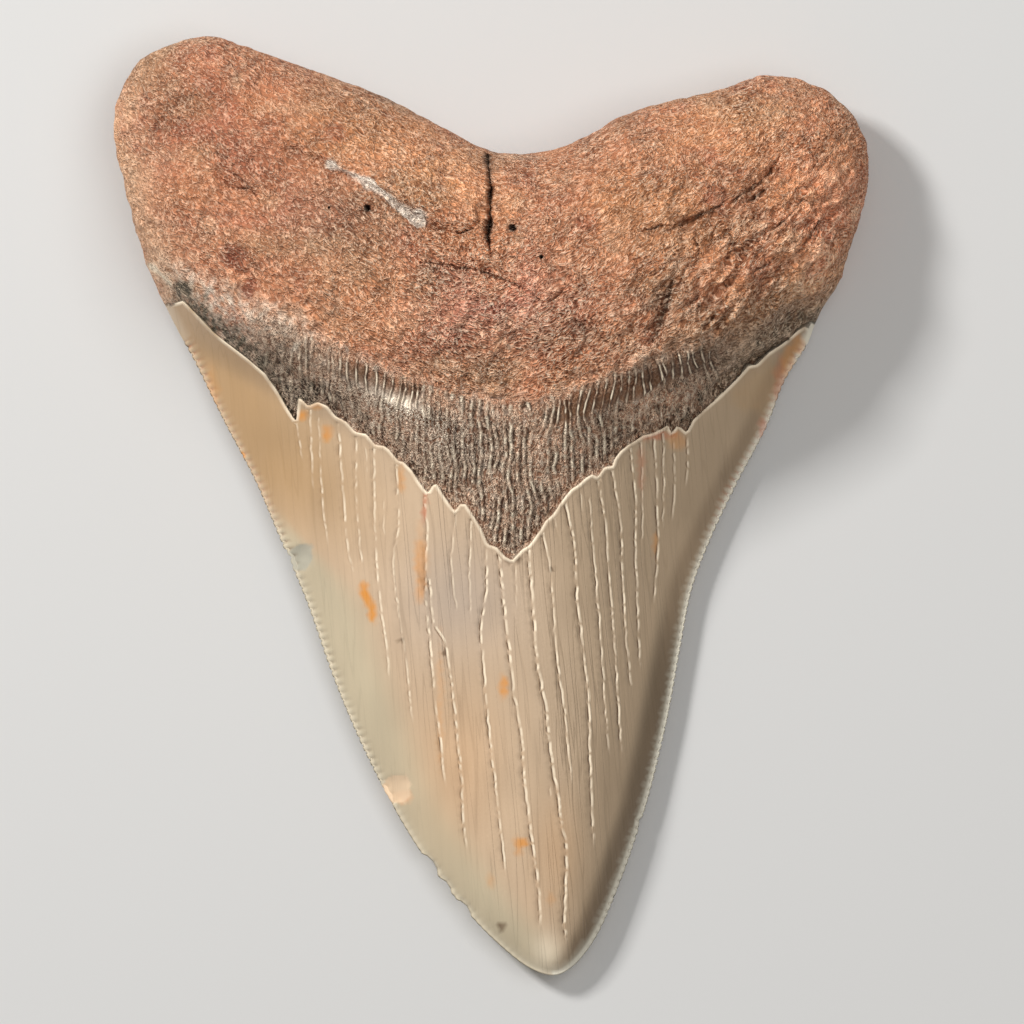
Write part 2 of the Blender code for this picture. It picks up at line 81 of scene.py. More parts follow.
ROOT_OUTLINE = [
    (-31.5, 16.9), (-33.6, 21.0), (-35.3, 25.1), (-36.6, 29.2), (-37.6, 33.2), (-38.5, 37.8), (-38.0, 41.9),
    (-35.4, 45.8), (-31.8, 47.3), (-28.9, 47.9), (-24.0, 46.5), (-16.9, 43.9), (-11.2, 41.8), (-5.5, 38.9),
    (-2.2, 37.1), (0.4, 36.1), (4.9, 36.1), (8.8, 37.3), (13.0, 39.7), (17.3, 41.1), (21.6, 42.0),
    (25.0, 43.1), (27.5, 43.9), (31.3, 43.5), (34.8, 41.8), (37.3, 39.0), (38.4, 34.8), (37.9, 30.7),
    (36.6, 26.6), (35.4, 23.0), (33.2, 19.3), (32.1, 16.4),
]
CROWN_OUTLINE = [
    (29.9, 12.9), (28.1, 8.3), (25.2, 2.7), (22.3, -3.4), (20.4, -8.5), (19.3, -14.1), (17.9, -21.7),
    (15.9, -29.9), (13.2, -38.0), (10.5, -44.1), (8.1, -47.0), (6.4, -47.8), (3.9, -47.1), (0.1, -44.1),
    (-3.6, -40.1), (-7.9, -34.3), (-12.6, -25.8), (-16.1, -17.7), (-19.0, -9.5), (-21.6, -3.4),
    (-24.2, 2.7), (-27.4, 8.8), (-30.4, 14.9),
]
TIP = (6.4, -47.8)
SHOULDERS = ((-31.5, 16.9), (32.1, 16.4))
CHIPS = [
    (-20.2, -4.9, 1.1, 0.3), (-9.4, -29.6, 1.4, 0.12), (-5.9, -36.2, 1.5, 0.55), (-4.6, -38.5, 1.0, 0.3),
    (-2.7, -40.8, 1.1, 0.35), (15.2, -32.2, 0.7, 0.15),
]
# Flakes lost from the lingual face beside the edge: x, y, radius, depth
FLAKES = [(-19.5, -5.1, 1.4, 0.4), (-9.7, -28.8, 1.6, 0.35)]
LINGUAL_RIDGE = [
    (-47.8, 2.9), (-46.4, 4.1), (-43.5, 5.3), (-40.0, 6.3), (-30.0, 8.5), (-20.0, 10.1), (-10.0, 11.5),
    (-4.0, 12.6), (1.0, 13.9), (6.0, 15.6), (11.0, 17.6), (16.0, 19.2), (21.0, 20.0), (26.0, 19.7),
    (31.0, 18.4), (36.0, 16.8), (42.0, 15.8), (48.0, 15.2),
]
RIDGE_PLACE = [(-48.0, 0.62), (-38.0, 0.62), (-20.0, 0.56), (0.0, 0.5), (48.0, 0.5)]
LOBE_DROP = 5.6
LOBE_REACH = 35.0
LINGUAL_ROUNDING = 8.0
LABIAL_ROUNDING = 5.0
EDGE_FLARE = 0.5
LINGUAL_FULLNESS = 2.1
LABIAL_FULLNESS = 1.8
CROWN_REST_Y = -14.0
CROWN_RISE = 0.9
CROWN_REACH = 34.0
ROOT_CLEARANCE = 0.5
ROOT_HOLLOW = 1.6
CONTACTS = [(-27.5, 36.5, 3.0), (28.0, 34.0, 3.0), (0.5, -14.0, 3.0)]

# The enamel's edge on the lingual face, in the photo's pixels
ENAMEL_EDGE_PX = [
    (172, 304), (184, 301), (199, 316), (215, 333), (233, 347), (250, 360), (266, 374), (278, 391),
    (287, 407), (296, 421), (299, 397), (304, 401), (309, 406), (318, 402), (328, 406), (336, 416),
    (347, 422), (356, 432), (367, 434), (376, 445), (385, 446), (390, 450), (399, 461), (404, 462),
    (412, 470), (421, 484), (428, 493), (433, 485), (437, 484), (449, 503), (455, 511), (460, 504),
    (466, 504), (474, 516), (482, 529), (488, 544), (497, 547), (505, 556), (512, 560), (522, 549),
    (529, 545), (540, 530), (545, 521), (553, 514), (560, 503), (566, 495), (571, 489), (579, 484),
    (585, 478), (592, 474), (597, 477), (604, 467), (612, 466), (614, 459), (620, 451), (627, 445),
    (634, 441), (643, 435), (653, 433), (662, 428), (668, 424), (671, 433), (676, 426), (681, 427),
    (686, 432), (692, 420), (705, 408), (720, 395), (735, 380), (748, 366), (757, 364), (768, 353),
    (783, 343), (797, 331), (812, 322),
]
BAND_LINE = [
    (-35.0, 24.9), (-29.7, 22.0), (-24.6, 19.8), (-19.5, 17.5), (-14.5, 15.1), (-9.4, 13.2), (-4.3, 11.3),
    (1.3, 10.0), (5.9, 10.8), (11.0, 12.6), (16.1, 14.4), (21.2, 16.1), (26.3, 18.0), (31.3, 20.2),
    (35.2, 22.4),
]
LABIAL_LINE = [
    (-33.8, 20.2), (-28.7, 18.0), (-23.6, 15.9), (-16.5, 13.1), (-9.4, 10.8), (-3.3, 9.6), (1.3, 9.2),
    (5.9, 9.6), (12.0, 11.0), (19.1, 13.5), (26.3, 16.3), (33.8, 20.2),
]
RIB_PITCH = 0.78
# Across a rib: offset, height, darkness, which is painted shade in the troughs, and whiteness, partly painted
# highlight on the crests
RIB_PROFILE = [
    (-0.24, -0.14, 0.75, 0.0), (-0.07, 0.16, 0.0, 1.0), (0.07, 0.16, 0.0, 1.0), (0.24, -0.14, 0.75, 0.0),
]
RIB_STEP = 0.28
RIBS_FROM, RIBS_TO = -23.0, 22.5
RIB_TOP, RIB_BOTTOM = 27.0, -6.0

# Cracks of the lingual enamel: how strong, and the route in the photo's pixels
CRACKS_PX = [
    (0.6, [(295, 420), (303, 464)]),
    (0.8, [(310, 408), (311, 450), (313, 492)]),
    (0.7, [(318, 412), (323, 510), (328, 548)]),
    (0.9, [(338, 420), (342, 479), (346, 538), (354, 578)]),
    (0.7, [(356, 434), (356, 497), (359, 538), (364, 581)]),
    (0.4, [(366, 450), (367, 490)]),
    (0.9, [(374, 444), (374, 502), (377, 573), (382, 619), (387, 651), (389, 684)]),
    (0.4, [(383, 500), (384, 545)]),
    (0.8, [(396, 460), (398, 525), (393, 561), (400, 624), (406, 664), (412, 725)]),
    (1.0, [(424, 490), (427, 535), (425, 586), (430, 651), (435, 702), (440, 743), (445, 789)]),
    (1.0, [(429, 578), (434, 625), (444, 642), (450, 676), (456, 728), (461, 779), (463, 824), (467, 852)]),
    (0.6, [(456, 508), (451, 561), (453, 586), (458, 619)]),
    (0.6, [(471, 514), (469, 573), (471, 624)]),
    (0.9, [
        (486, 542), (486, 586), (481, 625), (484, 676), (489, 735), (495, 784), (500, 830), (504, 858),
        (505, 883),
    ]),
    (1.3, [
        (498, 547), (503, 600), (509, 651), (514, 697), (521, 735), (524, 779), (530, 830), (537, 881),
        (540, 929),
    ]),
    (0.5, [(515, 563), (516, 612)]),
    (1.4, [
        (527, 545), (532, 600), (537, 664), (545, 707), (550, 753), (555, 784), (561, 822), (565, 845),
        (565, 881), (564, 919), (566, 944),
    ]),
    (0.6, [(549, 789), (551, 806)]),
    (0.9, [(541, 528), (550, 570), (552, 600), (556, 656), (563, 702), (568, 753), (572, 786)]),
    (0.6, [(552, 514), (561, 545)]),
    (1.2, [(564, 500), (573, 545), (577, 606), (583, 651), (588, 702), (589, 753), (591, 804), (593, 850)]),
    (0.5, [(579, 485), (583, 519)]),
    (0.8, [(589, 500), (593, 555), (597, 600), (602, 664), (605, 715), (609, 758)]),
    (1.0, [(596, 477), (603, 512), (608, 568), (612, 620), (616, 676), (619, 728), (621, 758)]),
    (1.0, [(611, 467), (619, 517), (622, 581), (625, 632), (628, 664), (632, 694)]),
    (1.0, [(629, 446), (635, 504), (635, 555), (638, 632), (639, 669)]),
    (0.6, [(640, 438), (642, 504), (641, 555)]),
    (1.0, [(653, 434), (656, 491), (657, 555), (653, 606)]),
    (0.7, [(662, 429), (663, 479), (662, 530)]),
    (0.9, [(672, 432), (674, 479), (671, 524)]),
    (0.9, [(686, 432), (687, 463), (685, 489)]),
]
CRACK_STEP = 0.26
CRACK_LEAN = 0.085  # how far the scratches lean for each millimetre up
# Across a crack, from left to right: offset, height, darkness, which is painted shade on its left wall and
# floor, and whiteness, partly painted highlight on its right wall, which faces the lamp, and partly pale
# broken enamel
CRACK_PROFILE = [
    (-0.22, 0.0, 0.0, 0.0), (-0.08, -0.24, 1.0, 0.0), (0.04, -0.05, 0.0, 0.95), (0.15, 0.02, 0.0, 0.75),
    (0.26, 0.0, 0.0, 0.0),
]
# Along the enamel's edge: offset into the root, height and whiteness, partly a painted highlight along the
# lip
LIP_PROFILE = [(-0.42, 0.0, 0.0), (-0.26, 0.05, 0.6), (-0.06, 0.0, 0.95), (0.06, 0.0, 0.0)]
# Clefts of the root's lingual face: depth, half width and route. The first parts the lobes.
CLEFTS = [
    (2.2, 0.52, [(-0.5, 37.2), (-0.3, 34.8), (-0.1, 32.3), (-0.1, 29.7), (-0.3, 27.8), (-0.3, 25.0)]),
    (0.8, 0.28, [(-7.0, 28.6), (-4.7, 27.9), (-2.6, 27.9), (-1.3, 28.6), (-0.8, 29.8)]),
    (0.6, 0.25, [(14.6, 27.8), (16.6, 28.3), (19.0, 28.6)]),
    (1.2, 0.42, [(18.0, 28.3), (20.2, 29.0), (21.9, 29.9), (24.6, 31.4)]),
    (1.1, 0.42, [(24.0, 30.4), (26.2, 32.2), (27.6, 33.2), (28.6, 34.6), (29.6, 36.2)]),
    (0.8, 0.32, [(25.2, 30.8), (27.4, 32.0), (29.6, 33.0)]),
    (0.6, 0.28, [(23.4, 29.2), (22.6, 27.9), (22.0, 26.2)]),
    (0.7, 0.3, [(-10.2, 31.2), (-9.4, 30.0), (-8.5, 28.9), (-7.2, 27.6)]),
    (0.9, 0.6, [(18.4, 23.4), (17.6, 20.0), (16.0, 15.8)]),
    (0.8, 0.34, [(26.6, 27.0), (29.4, 28.9), (30.9, 30.4), (32.4, 33.0)]),
    (0.7, 0.3, [(30.4, 25.0), (32.4, 27.4), (34.2, 31.0)]),
    (0.6, 0.3, [(26.0, 23.4), (28.6, 25.0), (31.0, 27.4)]),
    (0.45, 0.2, [(-8.4, 28.3), (-8.0, 25.0)]),
    (0.8, 0.3, [(-8.0, 24.9), (-4.6, 24.4), (-2.0, 24.1), (-0.2, 23.5), (1.9, 22.7), (4.9, 21.3)]),
    (0.5, 0.22, [(3.4, 22.0), (5.4, 20.6), (6.9, 21.5), (8.9, 23.9)]),
    (0.6, 0.6, [(8.0, 19.4), (9.3, 17.9), (10.2, 16.4)]),
    (1.0, 0.4, [(-28.6, 34.2), (-26.9, 32.8), (-25.1, 32.3), (-23.2, 32.5)]),
    (0.7, 0.25, [(-27.6, 34.4), (-25.8, 33.5), (-24.2, 32.0), (-23.2, 30.6)]),
    (0.5, 0.24, [(20.2, 27.8), (21.0, 26.0), (20.4, 24.4)]),
]
# Across a cleft: offset, share of the depth and darkness, which is painted shade
CLEFT_PROFILE = [
    (-1.2, -0.22, 0.0), (-0.55, 0.25, 0.6), (0.0, 1.0, 1.0), (0.45, 0.3, 0.6), (0.95, -0.05, 0.0),
]
CLEFT_STEP = 0.22

# Furrows in the root's lingual face: depth, half width and route
ROOT_FURROWS = [
    (0.5, 0.9, [(0.0, 36.6), (0.1, 34.0), (0.0, 31.7), (-0.3, 28.9)]),
    (0.6, 0.5, [(-20.6, 36.1), (-16.6, 34.5), (-13.0, 32.7), (-10.2, 31.1), (-7.4, 29.0), (-6.3, 28.4)]),
    (1.0, 1.0, [(14.9, 27.4), (17.7, 28.0), (20.8, 29.2), (24.7, 30.4), (27.7, 32.6), (29.1, 33.8)]),
    (0.6, 0.6, [(27.0, 29.2), (29.9, 30.2), (31.7, 31.9)]),
    (0.4, 0.3, [(19.0, 27.6), (20.4, 25.2)]),
    (0.5, 0.6, [(8.3, 18.8), (9.5, 17.6), (10.4, 16.6)]),
    (0.6, 0.45, [(24.0, 24.6), (26.5, 26.6), (28.6, 27.6)]),
    (0.6, 0.5, [(20.2, 19.6), (22.2, 21.4), (24.4, 22.6)]),
    (0.3, 0.6, [(-7.4, 24.1), (-2.0, 24.0), (2.9, 23.3)]),
    (0.4, 1.1, [(17.9, 22.3), (17.4, 20.0), (16.3, 17.0)]),
    (0.3, 0.4, [(5.1, 22.4), (9.3, 23.3)]),
    (0.25, 0.25, [(-8.4, 28.3), (-8.0, 25.0)]),
    (0.25, 0.3, [(21.0, 21.0), (21.3, 19.0)]),
    (0.3, 0.4, [(-27.0, 33.3), (-24.0, 31.7)]),
]
# Small holes: x, y and radius, and across one: share of the radius, height, darkness, which is painted shade
FORAMINA = [(2.1, 28.2, 0.4), (-12.6, 30.2, 0.33), (5.0, 25.3, 0.22), (-16.5, 30.3, 0.14)]
HOLE_PROFILE = [(1.3, 0.0, 0.2), (1.0, -0.25, 0.8), (0.6, -1.0, 1.0), (0.05, -1.3, 1.0)]
# The raised strip that ends beside the fissure, and the pale scar below it
TONGUE_EDGE = [
    (-21.0, 36.4), (-16.6, 34.5), (-13.0, 32.7), (-10.2, 31.1), (-7.4, 29.0), (-4.7, 28.2), (-1.2, 28.6),
]
SCAR = [(-16.4, 34.7), (-13.5, 33.3), (-11.2, 31.8), (-9.2, 30.1), (-8.3, 29.2), (-6.6, 28.6)]
# Shallow pits of the root: x, y, radius, depth
ROOT_PITS = [
    (-0.4, 23.8, 0.8, 0.5), (-26.3, 25.5, 1.9, 0.6), (-24.6, 22.0, 1.4, 0.9), (-34.0, 38.5, 0.6, 0.4),
]

# Fineness of the mesh
EDGE_STEPS = 6  # outline points a serration
ROOT_EDGE_STEP = 0.28
OUTLINE_STEP = 0.02
CURVE_PARTS = 16
HOLE_CORNERS = 10
ROOT_FILL = 0.22
ENAMEL_FILL = 0.5
LABIAL_FILL = 0.66
RIM_DEPTHS = [0.16, 0.36, 0.62]
ROOT_RIM_DEPTHS = [0.01, 0.04, 0.09, 0.16, 0.25, 0.36]
GROOVE_DEPTH = 0.2  # between two serrations, on the lingual face
FIELD_SIZE = 512
FAR = 99.0


def place(x, y):
    """Drawing millimetres of a pixel of the photo."""
    return (x - PHOTO_MIDDLE[0]) * PIXEL, (PHOTO_MIDDLE[1] - y) * PIXEL


def places(route):
    return [place(x, y) for x, y in route]


def unit(value):
    return np.clip(value, 0, 1)


def ramp(low, high, value):
    """0 up to low, 1 from high on and smooth between them. High may be the lower number."""
    share = unit((value - low) / (high - low))
    return share * share * (3 - 2 * share)


def smooth_curve(stops, step, closed=False):
    """Points about a step apart on a centripetal Catmull-Rom curve through the stops."""
    stops = np.array(stops, float)
    if closed:
        line = np.vstack([stops[-1], stops, stops[0], stops[1]])
    else:
        line = np.vstack([2 * stops[0] - stops[1], stops, 2 * stops[-1] - stops[-2]])
    fine = []
    for a, b, c, d in zip(line, line[1:], line[2:], line[3:]):
        t1 = math.sqrt(math.dist(a, b))
        t2 = t1 + math.sqrt(math.dist(b, c))
        t3 = t2 + math.sqrt(math.dist(c, d))
        for t in np.linspace(t1, t2, CURVE_PARTS, endpoint=False):
            ab = a + (b - a) * (t / t1)
            bc = b + (c - b) * ((t - t1) / (t2 - t1))
            cd = c + (d - c) * ((t - t2) / (t3 - t2))
            first = ab + (bc - ab) * (t / t2)
            second = bc + (cd - bc) * ((t - t1) / (t3 - t1))
            fine.append(first + (second - first) * ((t - t1) / (t2 - t1)))
    fine.append(stops[0] if closed else stops[-1])
    return even(np.array(fine), step)


def even(line, step):
    """The points of a line of points, about a step apart."""
    run = np.concatenate([[0], np.cumsum(np.hypot(*np.diff(line, axis=0).T))])
    marks = np.linspace(0, run[-1], max(2, round(run[-1] / step) + 1))
    return np.stack([np.interp(marks, run, line[:, 0]), np.interp(marks, run, line[:, 1])], axis=1)


def on_line(value, line):
    """The second coordinate of a line of points where the first has this value."""
    return np.interp(value, *np.array(line).T)


def along(stations, value):
    return on_line(value, smooth_curve(stations, 0.25))


def mound(x, y, middle_x, middle_y, wide, high):
    """A smooth oval spot, 1 in its middle."""
    return np.exp(-(((x - middle_x) / wide) ** 2 + ((y - middle_y) / high) ** 2))


SMOOTH_EDGE = smooth_curve(ROOT_OUTLINE + CROWN_OUTLINE, 0.4, closed=True)
LOWEST = int(np.argmin(SMOOTH_EDGE[:, 1]))
LEFT_TOP = int(np.argmax(np.where(SMOOTH_EDGE[:, 0] < 0, SMOOTH_EDGE[:, 1], -FAR)))
RIGHT_TOP = int(np.argmax(np.where(SMOOTH_EDGE[:, 0] > 0, SMOOTH_EDGE[:, 1], -FAR)))
# Either side of the outline from the tip up, as points of y, x
LEFT_SIDE = np.vstack([SMOOTH_EDGE[LOWEST:-1], SMOOTH_EDGE[: LEFT_TOP + 1]])[:, ::-1]
RIGHT_SIDE = SMOOTH_EDGE[RIGHT_TOP : LOWEST + 1][::-1, ::-1]
ENAMEL_EDGE = even(np.array(places(ENAMEL_EDGE_PX)), 0.3)
RANDOM_FIELD = np.random.default_rng(11).uniform(-1, 1, (FIELD_SIZE, FIELD_SIZE))


def to_line(points, line, reach=None):
    """The distance from each point to a line of points. Past the reach it comes out too large."""
    nearest = np.full(len(points), FAR)
    index = np.arange(len(points))
    if reach:
        low, high = line.min(axis=0) - reach, line.max(axis=0) + reach
        index = np.flatnonzero(((points > low) & (points < high)).all(axis=1))
    tree = KDTree(len(line))
    for number, (x, y) in enumerate(line):
        tree.insert((x, y, 0), number)
    tree.balance()
    some = points[index]
    corner = np.array([tree.find((x, y, 0))[1] for x, y in some], int)
    for back in (0, 1):
        start = np.clip(corner - back, 0, len(line) - 2)
        run = line[start + 1] - line[start]
        share = ((some - line[start]) * run).sum(axis=1) / ((run * run).sum(axis=1) + 1e-12)
        away = some - line[start] - unit(share)[:, None] * run
        nearest[index] = np.minimum(nearest[index], np.hypot(*away.T))
    return nearest


def to_edge(points):
    return to_line(points, np.vstack([SMOOTH_EDGE[-3:-1], SMOOTH_EDGE, SMOOTH_EDGE[1:3]]))


def edge_distance(points, edge):
    """The distance to the tooth's edge, close to it the distance to its serrations and bumps."""
    distance = to_edge(points)
    near = distance < 0.8
    exact = to_line(points[near], np.vstack([edge[-2:], edge, edge[:2]]))
    distance[near] = exact + (distance[near] - exact) * ramp(0.4, 0.8, distance[near])
    return distance


def lumps(points, size, seed):
    return np.array([noise.fractal(Vector((x, y, z + seed)), 0.8, 2, 2) for x, y, z in points / size])


def grain(u, v, seed, w=None):
    """Smooth noise from -1 to 1 with grains one unit across, in a plane or, with w, in space."""
    if w is not None:
        layer = np.floor(w).astype(int)
        low = grain(u + 37 * layer, v + 91 * layer, seed)
        high = grain(u + 37 * (layer + 1), v + 91 * (layer + 1), seed)
        return low + (high - low) * ramp(0, 1, w - layer)
    cell_u, cell_v = np.floor(u).astype(int), np.floor(v).astype(int)
    part_u, part_v = ramp(0, 1, u - cell_u), ramp(0, 1, v - cell_v)
    row, column = cell_u + 67 * seed, cell_v + 151 * seed
    corner = [RANDOM_FIELD[(row + i) % FIELD_SIZE, (column + j) % FIELD_SIZE] for i in (0, 1) for j in (0, 1)]
    low = corner[0] + (corner[1] - corner[0]) * part_v
    high = corner[2] + (corner[3] - corner[2]) * part_v
    return low + (high - low) * part_u


def run_grain(run, size, number, seed):
    """Noise along a line, with a number of its own for each line."""
    return grain(run / size, run * 0 + number, seed)


def turned(points, degrees):
    """Coordinates along and across a direction."""
    angle = math.radians(degrees)
    x, y = points[:, 0], points[:, 1]
    return x * math.cos(angle) + y * math.sin(angle), y * math.cos(angle) - x * math.sin(angle)


def across_crown(points, ridge):
    """0 at the edges and 1 at the ridge, which lies at a share of the width."""
    x, y = points.T
    left, right = on_line(y, LEFT_SIDE), on_line(y, RIGHT_SIDE)
    middle = left + (right - left) * ridge
    reach = np.where(x < middle, (x - left) / (middle - left + 1e-6), (right - x) / (right - middle + 1e-6))
    return unit(reach)


def width_share(points):
    """0 at the left edge and 1 at the right one."""
    x, y = points.T
    left, right = on_line(y, LEFT_SIDE), on_line(y, RIGHT_SIDE)
    return unit((x - left) / (right - left + 1e-6))


def above_crown(points):
    """How far a point is towards the root from the V where the crown ends."""
    return points[:, 1] - CROWN_V_Y - CROWN_V_SLOPE * np.abs(points[:, 0])


def edge_height(points):
    y = points[:, 1]
    crown = CUTTING_EDGE_Z + TIP_LIFT * unit((TIP_LIFT_START - y) / TIP_LIFT_REACH) ** 2
    return crown + (ROOT_EDGE_Z - crown) * ramp(-1, 9, above_crown(points))


def rounded(distance, radius):
    return np.sqrt(1 - (1 - unit(distance / radius)) ** 2)


def past_enamel(points):
    """How far a point is on the root's side of the enamel's edge, less than 0 on the enamel."""
    x, y = points.T
    away = to_line(points, ENAMEL_EDGE, 3)
    rise = y - on_line(x, ENAMEL_EDGE)
    size = np.where(away < FAR, away, 0.75 * np.abs(rise) + 1)
    return np.where(rise > 0, size, -size)


def above_band(points):
    return points[:, 1] - on_line(points[:, 0], BAND_LINE)


def window_share(points):
    """1 in the two rows of smooth dark windows under the band's upper edge."""
    x = points[:, 0]
    below = -above_band(points) + 0.4 * grain(x / 0.86, x * 0, 26)
    row = ramp(0.1, 0.5, below) * ramp(3.4, 2.6, below)
    left = 0.5 * (ramp(-22.5, -20.5, x) + ramp(-16.5, -13.5, x)) * ramp(-6, -8, x)
    return row * (ramp(4.5, 7.5, x) * ramp(25, 22, x) + left)


def rib_share(points):
    """How clear the ribs are: plain in the middle of the band and in the windows, broken here and there."""
    x, y = points.T
    middle = ramp(-8, -1, x) * ramp(17, 11, x)
    left = 0.2 * ramp(-22, -18, x) * ramp(-1, -5, x)
    clear = np.maximum(0.45 + 0.55 * middle + left, window_share(points))
    return clear * np.clip(0.8 + 0.9 * grain(x / 0.8, y / 1.5, 30), 0.75 * window_share(points), 1)


def skin_creases(points):
    """1 in the fine creases of the root's skin and 0 between them."""
    x, y, z = points.T
    warp = 0.5 * grain(x / 1.4, y / 1.4, 31, z / 1.4)
    total = np.zeros(len(points))
    for middle, direction, stretch in ((-26, 20, 1.2), (2, 78, 1.8), (30, 48, 2.2)):
        where = unit(1 - np.abs(x - middle) / 28)
        long, wide = turned(points, direction)
        crease = grain(long / (0.8 * stretch), wide / 0.7 + warp, 32, z / 0.8)
        total += where * np.exp(-((crease / 0.16) ** 2))
    return total * np.clip(0.7 + 0.6 * grain(x / 3, y / 3, 33), 0.1, 1.2)


def rib_place(x, y):
    """Where a rib that would stand at x if it were straight is at the height y."""
    bend = 0.45 * grain(x / 5, y / 3.2, 27) + 0.16 * grain(x / 1.1, y / 1.3, 28)
    return x + bend + 0.07 * grain(x / 0.5, y / 0.5, 44) + 0.2 * grain(x / 0.7, y * 0, 29)


def base_lingual(points, distance):
    x, y = points.T
    edge = edge_height(points)
    root_share = ramp(-2, 6, above_crown(points))
    ridge = along(LINGUAL_RIDGE, y) - LOBE_DROP * (np.abs(x) / LOBE_REACH) ** 2
    reach = across_crown(points, along(RIDGE_PLACE, y))
    crown = (1 - (1 - reach) ** LINGUAL_FULLNESS) * distance**2 / (distance**2 + EDGE_FLARE**2)
    return edge + (ridge - edge) * (crown + (rounded(distance, LINGUAL_ROUNDING) - crown) * root_share)


def lingual_form(points, distance, past, band):
    """The height of the lingual face with all its larger relief."""
    x, y = points.T
    height = base_lingual(points, distance)
    inner = ramp(0.1, 2.5, distance)
    root = ramp(0, 0.05, past)
    height -= inner * root * ENAMEL_STEP * np.exp(-np.clip(past, 0, None) / ENAMEL_STEP_FADE)
    flat = np.column_stack([x, y, 0 * x])
    height += inner * root * ramp(-1, 1, band) * 0.6 * lumps(flat, 9, 1.3)
    over = y - on_line(x, TONGUE_EDGE)
    tongue = ramp(-0.25, 0.45, over) * np.exp(-np.clip(over, 0, None) / 6)
    height += inner * 0.5 * tongue * ramp(-22, -14, x) * ramp(-0.7, -1.6, x)

    ribs = inner * root * ramp(0.5, -0.3, band) * ramp(0.2, 0.8, past)
    height += ribs * 0.12 * grain(x / 0.45, y / 0.9, 4) * (1 - 0.8 * window_share(points))

    for cx, cy, radius, depth in FLAKES:
        height -= depth * flake_share(points, cx, cy, radius)
    height += inner * (1 - root) * 0.12 * lumps(flat, 14, 8.7)
    height += inner * (1 - root) * 0.012 * grain(x / 0.55, y / 9, 5)
    for depth, half_width, route in ROOT_FURROWS:
        height -= inner * depth * furrow_share(points, half_width, route)
    for px, py, radius, depth in ROOT_PITS:
        height -= depth * mound(x, y, px, py, radius, radius)
    return height


def skin_relief(points):
    """The root's fine relief, out from its face: smooth on top of the lobes, lumpy lower down."""
    x, y, z = points.T
    long, wide = turned(points, 62)
    rough = 0.7 + 0.4 * ramp(36, 27, y - 0.12 * np.abs(x))
    rough += 0.5 * mound(x, y, 27, 25, 12, 8)
    relief = rough * 0.26 * lumps(points, 2.6, 5.1)
    relief += rough * 0.13 * grain(long / 1.5, wide / 1, 1, z / 1.2)
    relief += rough * 0.13 * grain(long / 0.8, wide / 0.5, 2, z / 0.6)
    relief += 0.08 * grain(x / 0.32, y / 0.34, 3, z / 0.34)
    return relief - 0.15 * (0.4 + 0.6 * rough) * skin_creases(points) - 0.06


def flake_share(points, cx, cy, radius):
    x, y = points.T
    away = np.hypot(x - cx, y - cy) + 0.25 * grain(x / 0.8, y / 0.8, 41)
    return unit(1 - (away / radius) ** 2)


def furrow_share(points, half_width, route):
    """1 in the middle of a furrow, whose depth and width change as it goes."""
    x, y = points.T
    away = to_line(points, smooth_curve(route, 0.5), 4 * half_width)
    away = np.abs(away + 0.45 * half_width * grain(x / 1.1, y / 1.1, 6))
    wander = 0.8 + 0.45 * grain(x / 1.6, y / 1.6, 34)
    return np.exp(-((away / (half_width * wander)) ** 2)) * (0.75 + 0.35 * grain(x / 2.2, y / 2.2, 35))


def wrinkles(points, band):
    """Creases that follow the root's lower margin to either side."""
    x, y, z = points.T
    total = np.zeros(len(points))
    for side, direction, deep, reach in ((1, 48, 0.95, 17), (-1, 138, 0.45, 8)):
        long, wide = turned(points, direction)
        wide = wide + 0.8 * grain(x / 2.6, y / 2.6, 40, z / 3)
        crease = np.abs(grain(long / 5, wide / 1.15, 7, z / 4))
        crease += 0.5 * np.abs(grain(long / 2.4, wide / 0.5, 8, z / 2))
        where = ramp(8, 20, side * x) * ramp(reach, 0.3 * reach, band)
        total += where * deep * (0.3 - crease)
    return total


def labial_height(points, distance):
    x, y = points.T
    edge = edge_height(points)
    root_share = ramp(-1, 5, above_crown(points))
    reach = across_crown(points, 0.5)
    crown = (1 - (1 - reach) ** LABIAL_FULLNESS) * distance / (distance + EDGE_FLARE)
    low_crown = CROWN_RISE * ((y - CROWN_REST_Y) / CROWN_REACH) ** 2
    low_root = ROOT_CLEARANCE + ROOT_HOLLOW * ramp(26, 4, np.abs(x)) * ramp(6, 24, y)
    floor = low_crown + (low_root - low_crown) * ramp(0, 14, y)
    height = edge - (edge - floor) * (crown + (rounded(distance, LABIAL_ROUNDING) - crown) * root_share)
    inner = ramp(0.1, 2.5, distance)
    over = y - on_line(x, LABIAL_LINE)
    root = ramp(-0.05, 0.05, over)
    height += inner * root * LABIAL_STEP * np.exp(-np.clip(over, 0, None) / LABIAL_STEP_FADE)
    flat = np.column_stack([x, y, 0 * x])
    height += inner * root * 0.35 * lumps(flat, 8, 3.9)
    for cx, cy, radius in CONTACTS:
        height *= ramp(radius, 3.2 * radius, np.hypot(x - cx, y - cy))
    return np.clip(height, 0, None)


def bite(point):
    """How far the chips push an outline point inwards."""
    deepest = 0
    for cx, cy, radius, depth in CHIPS:
        away = math.dist(point, (cx, cy)) / radius
        deepest = max(deepest, depth * (1 - away * away))
    return deepest


def inwards(line, numbers, reach):
    """The direction into the tooth at some points of a clockwise line."""
    ahead = line[np.minimum(numbers + reach, len(line) - 1)] - line[np.maximum(numbers - reach, 0)]
    return np.stack([ahead[:, 1], -ahead[:, 0]], axis=1) / np.hypot(*ahead.T)[:, None]


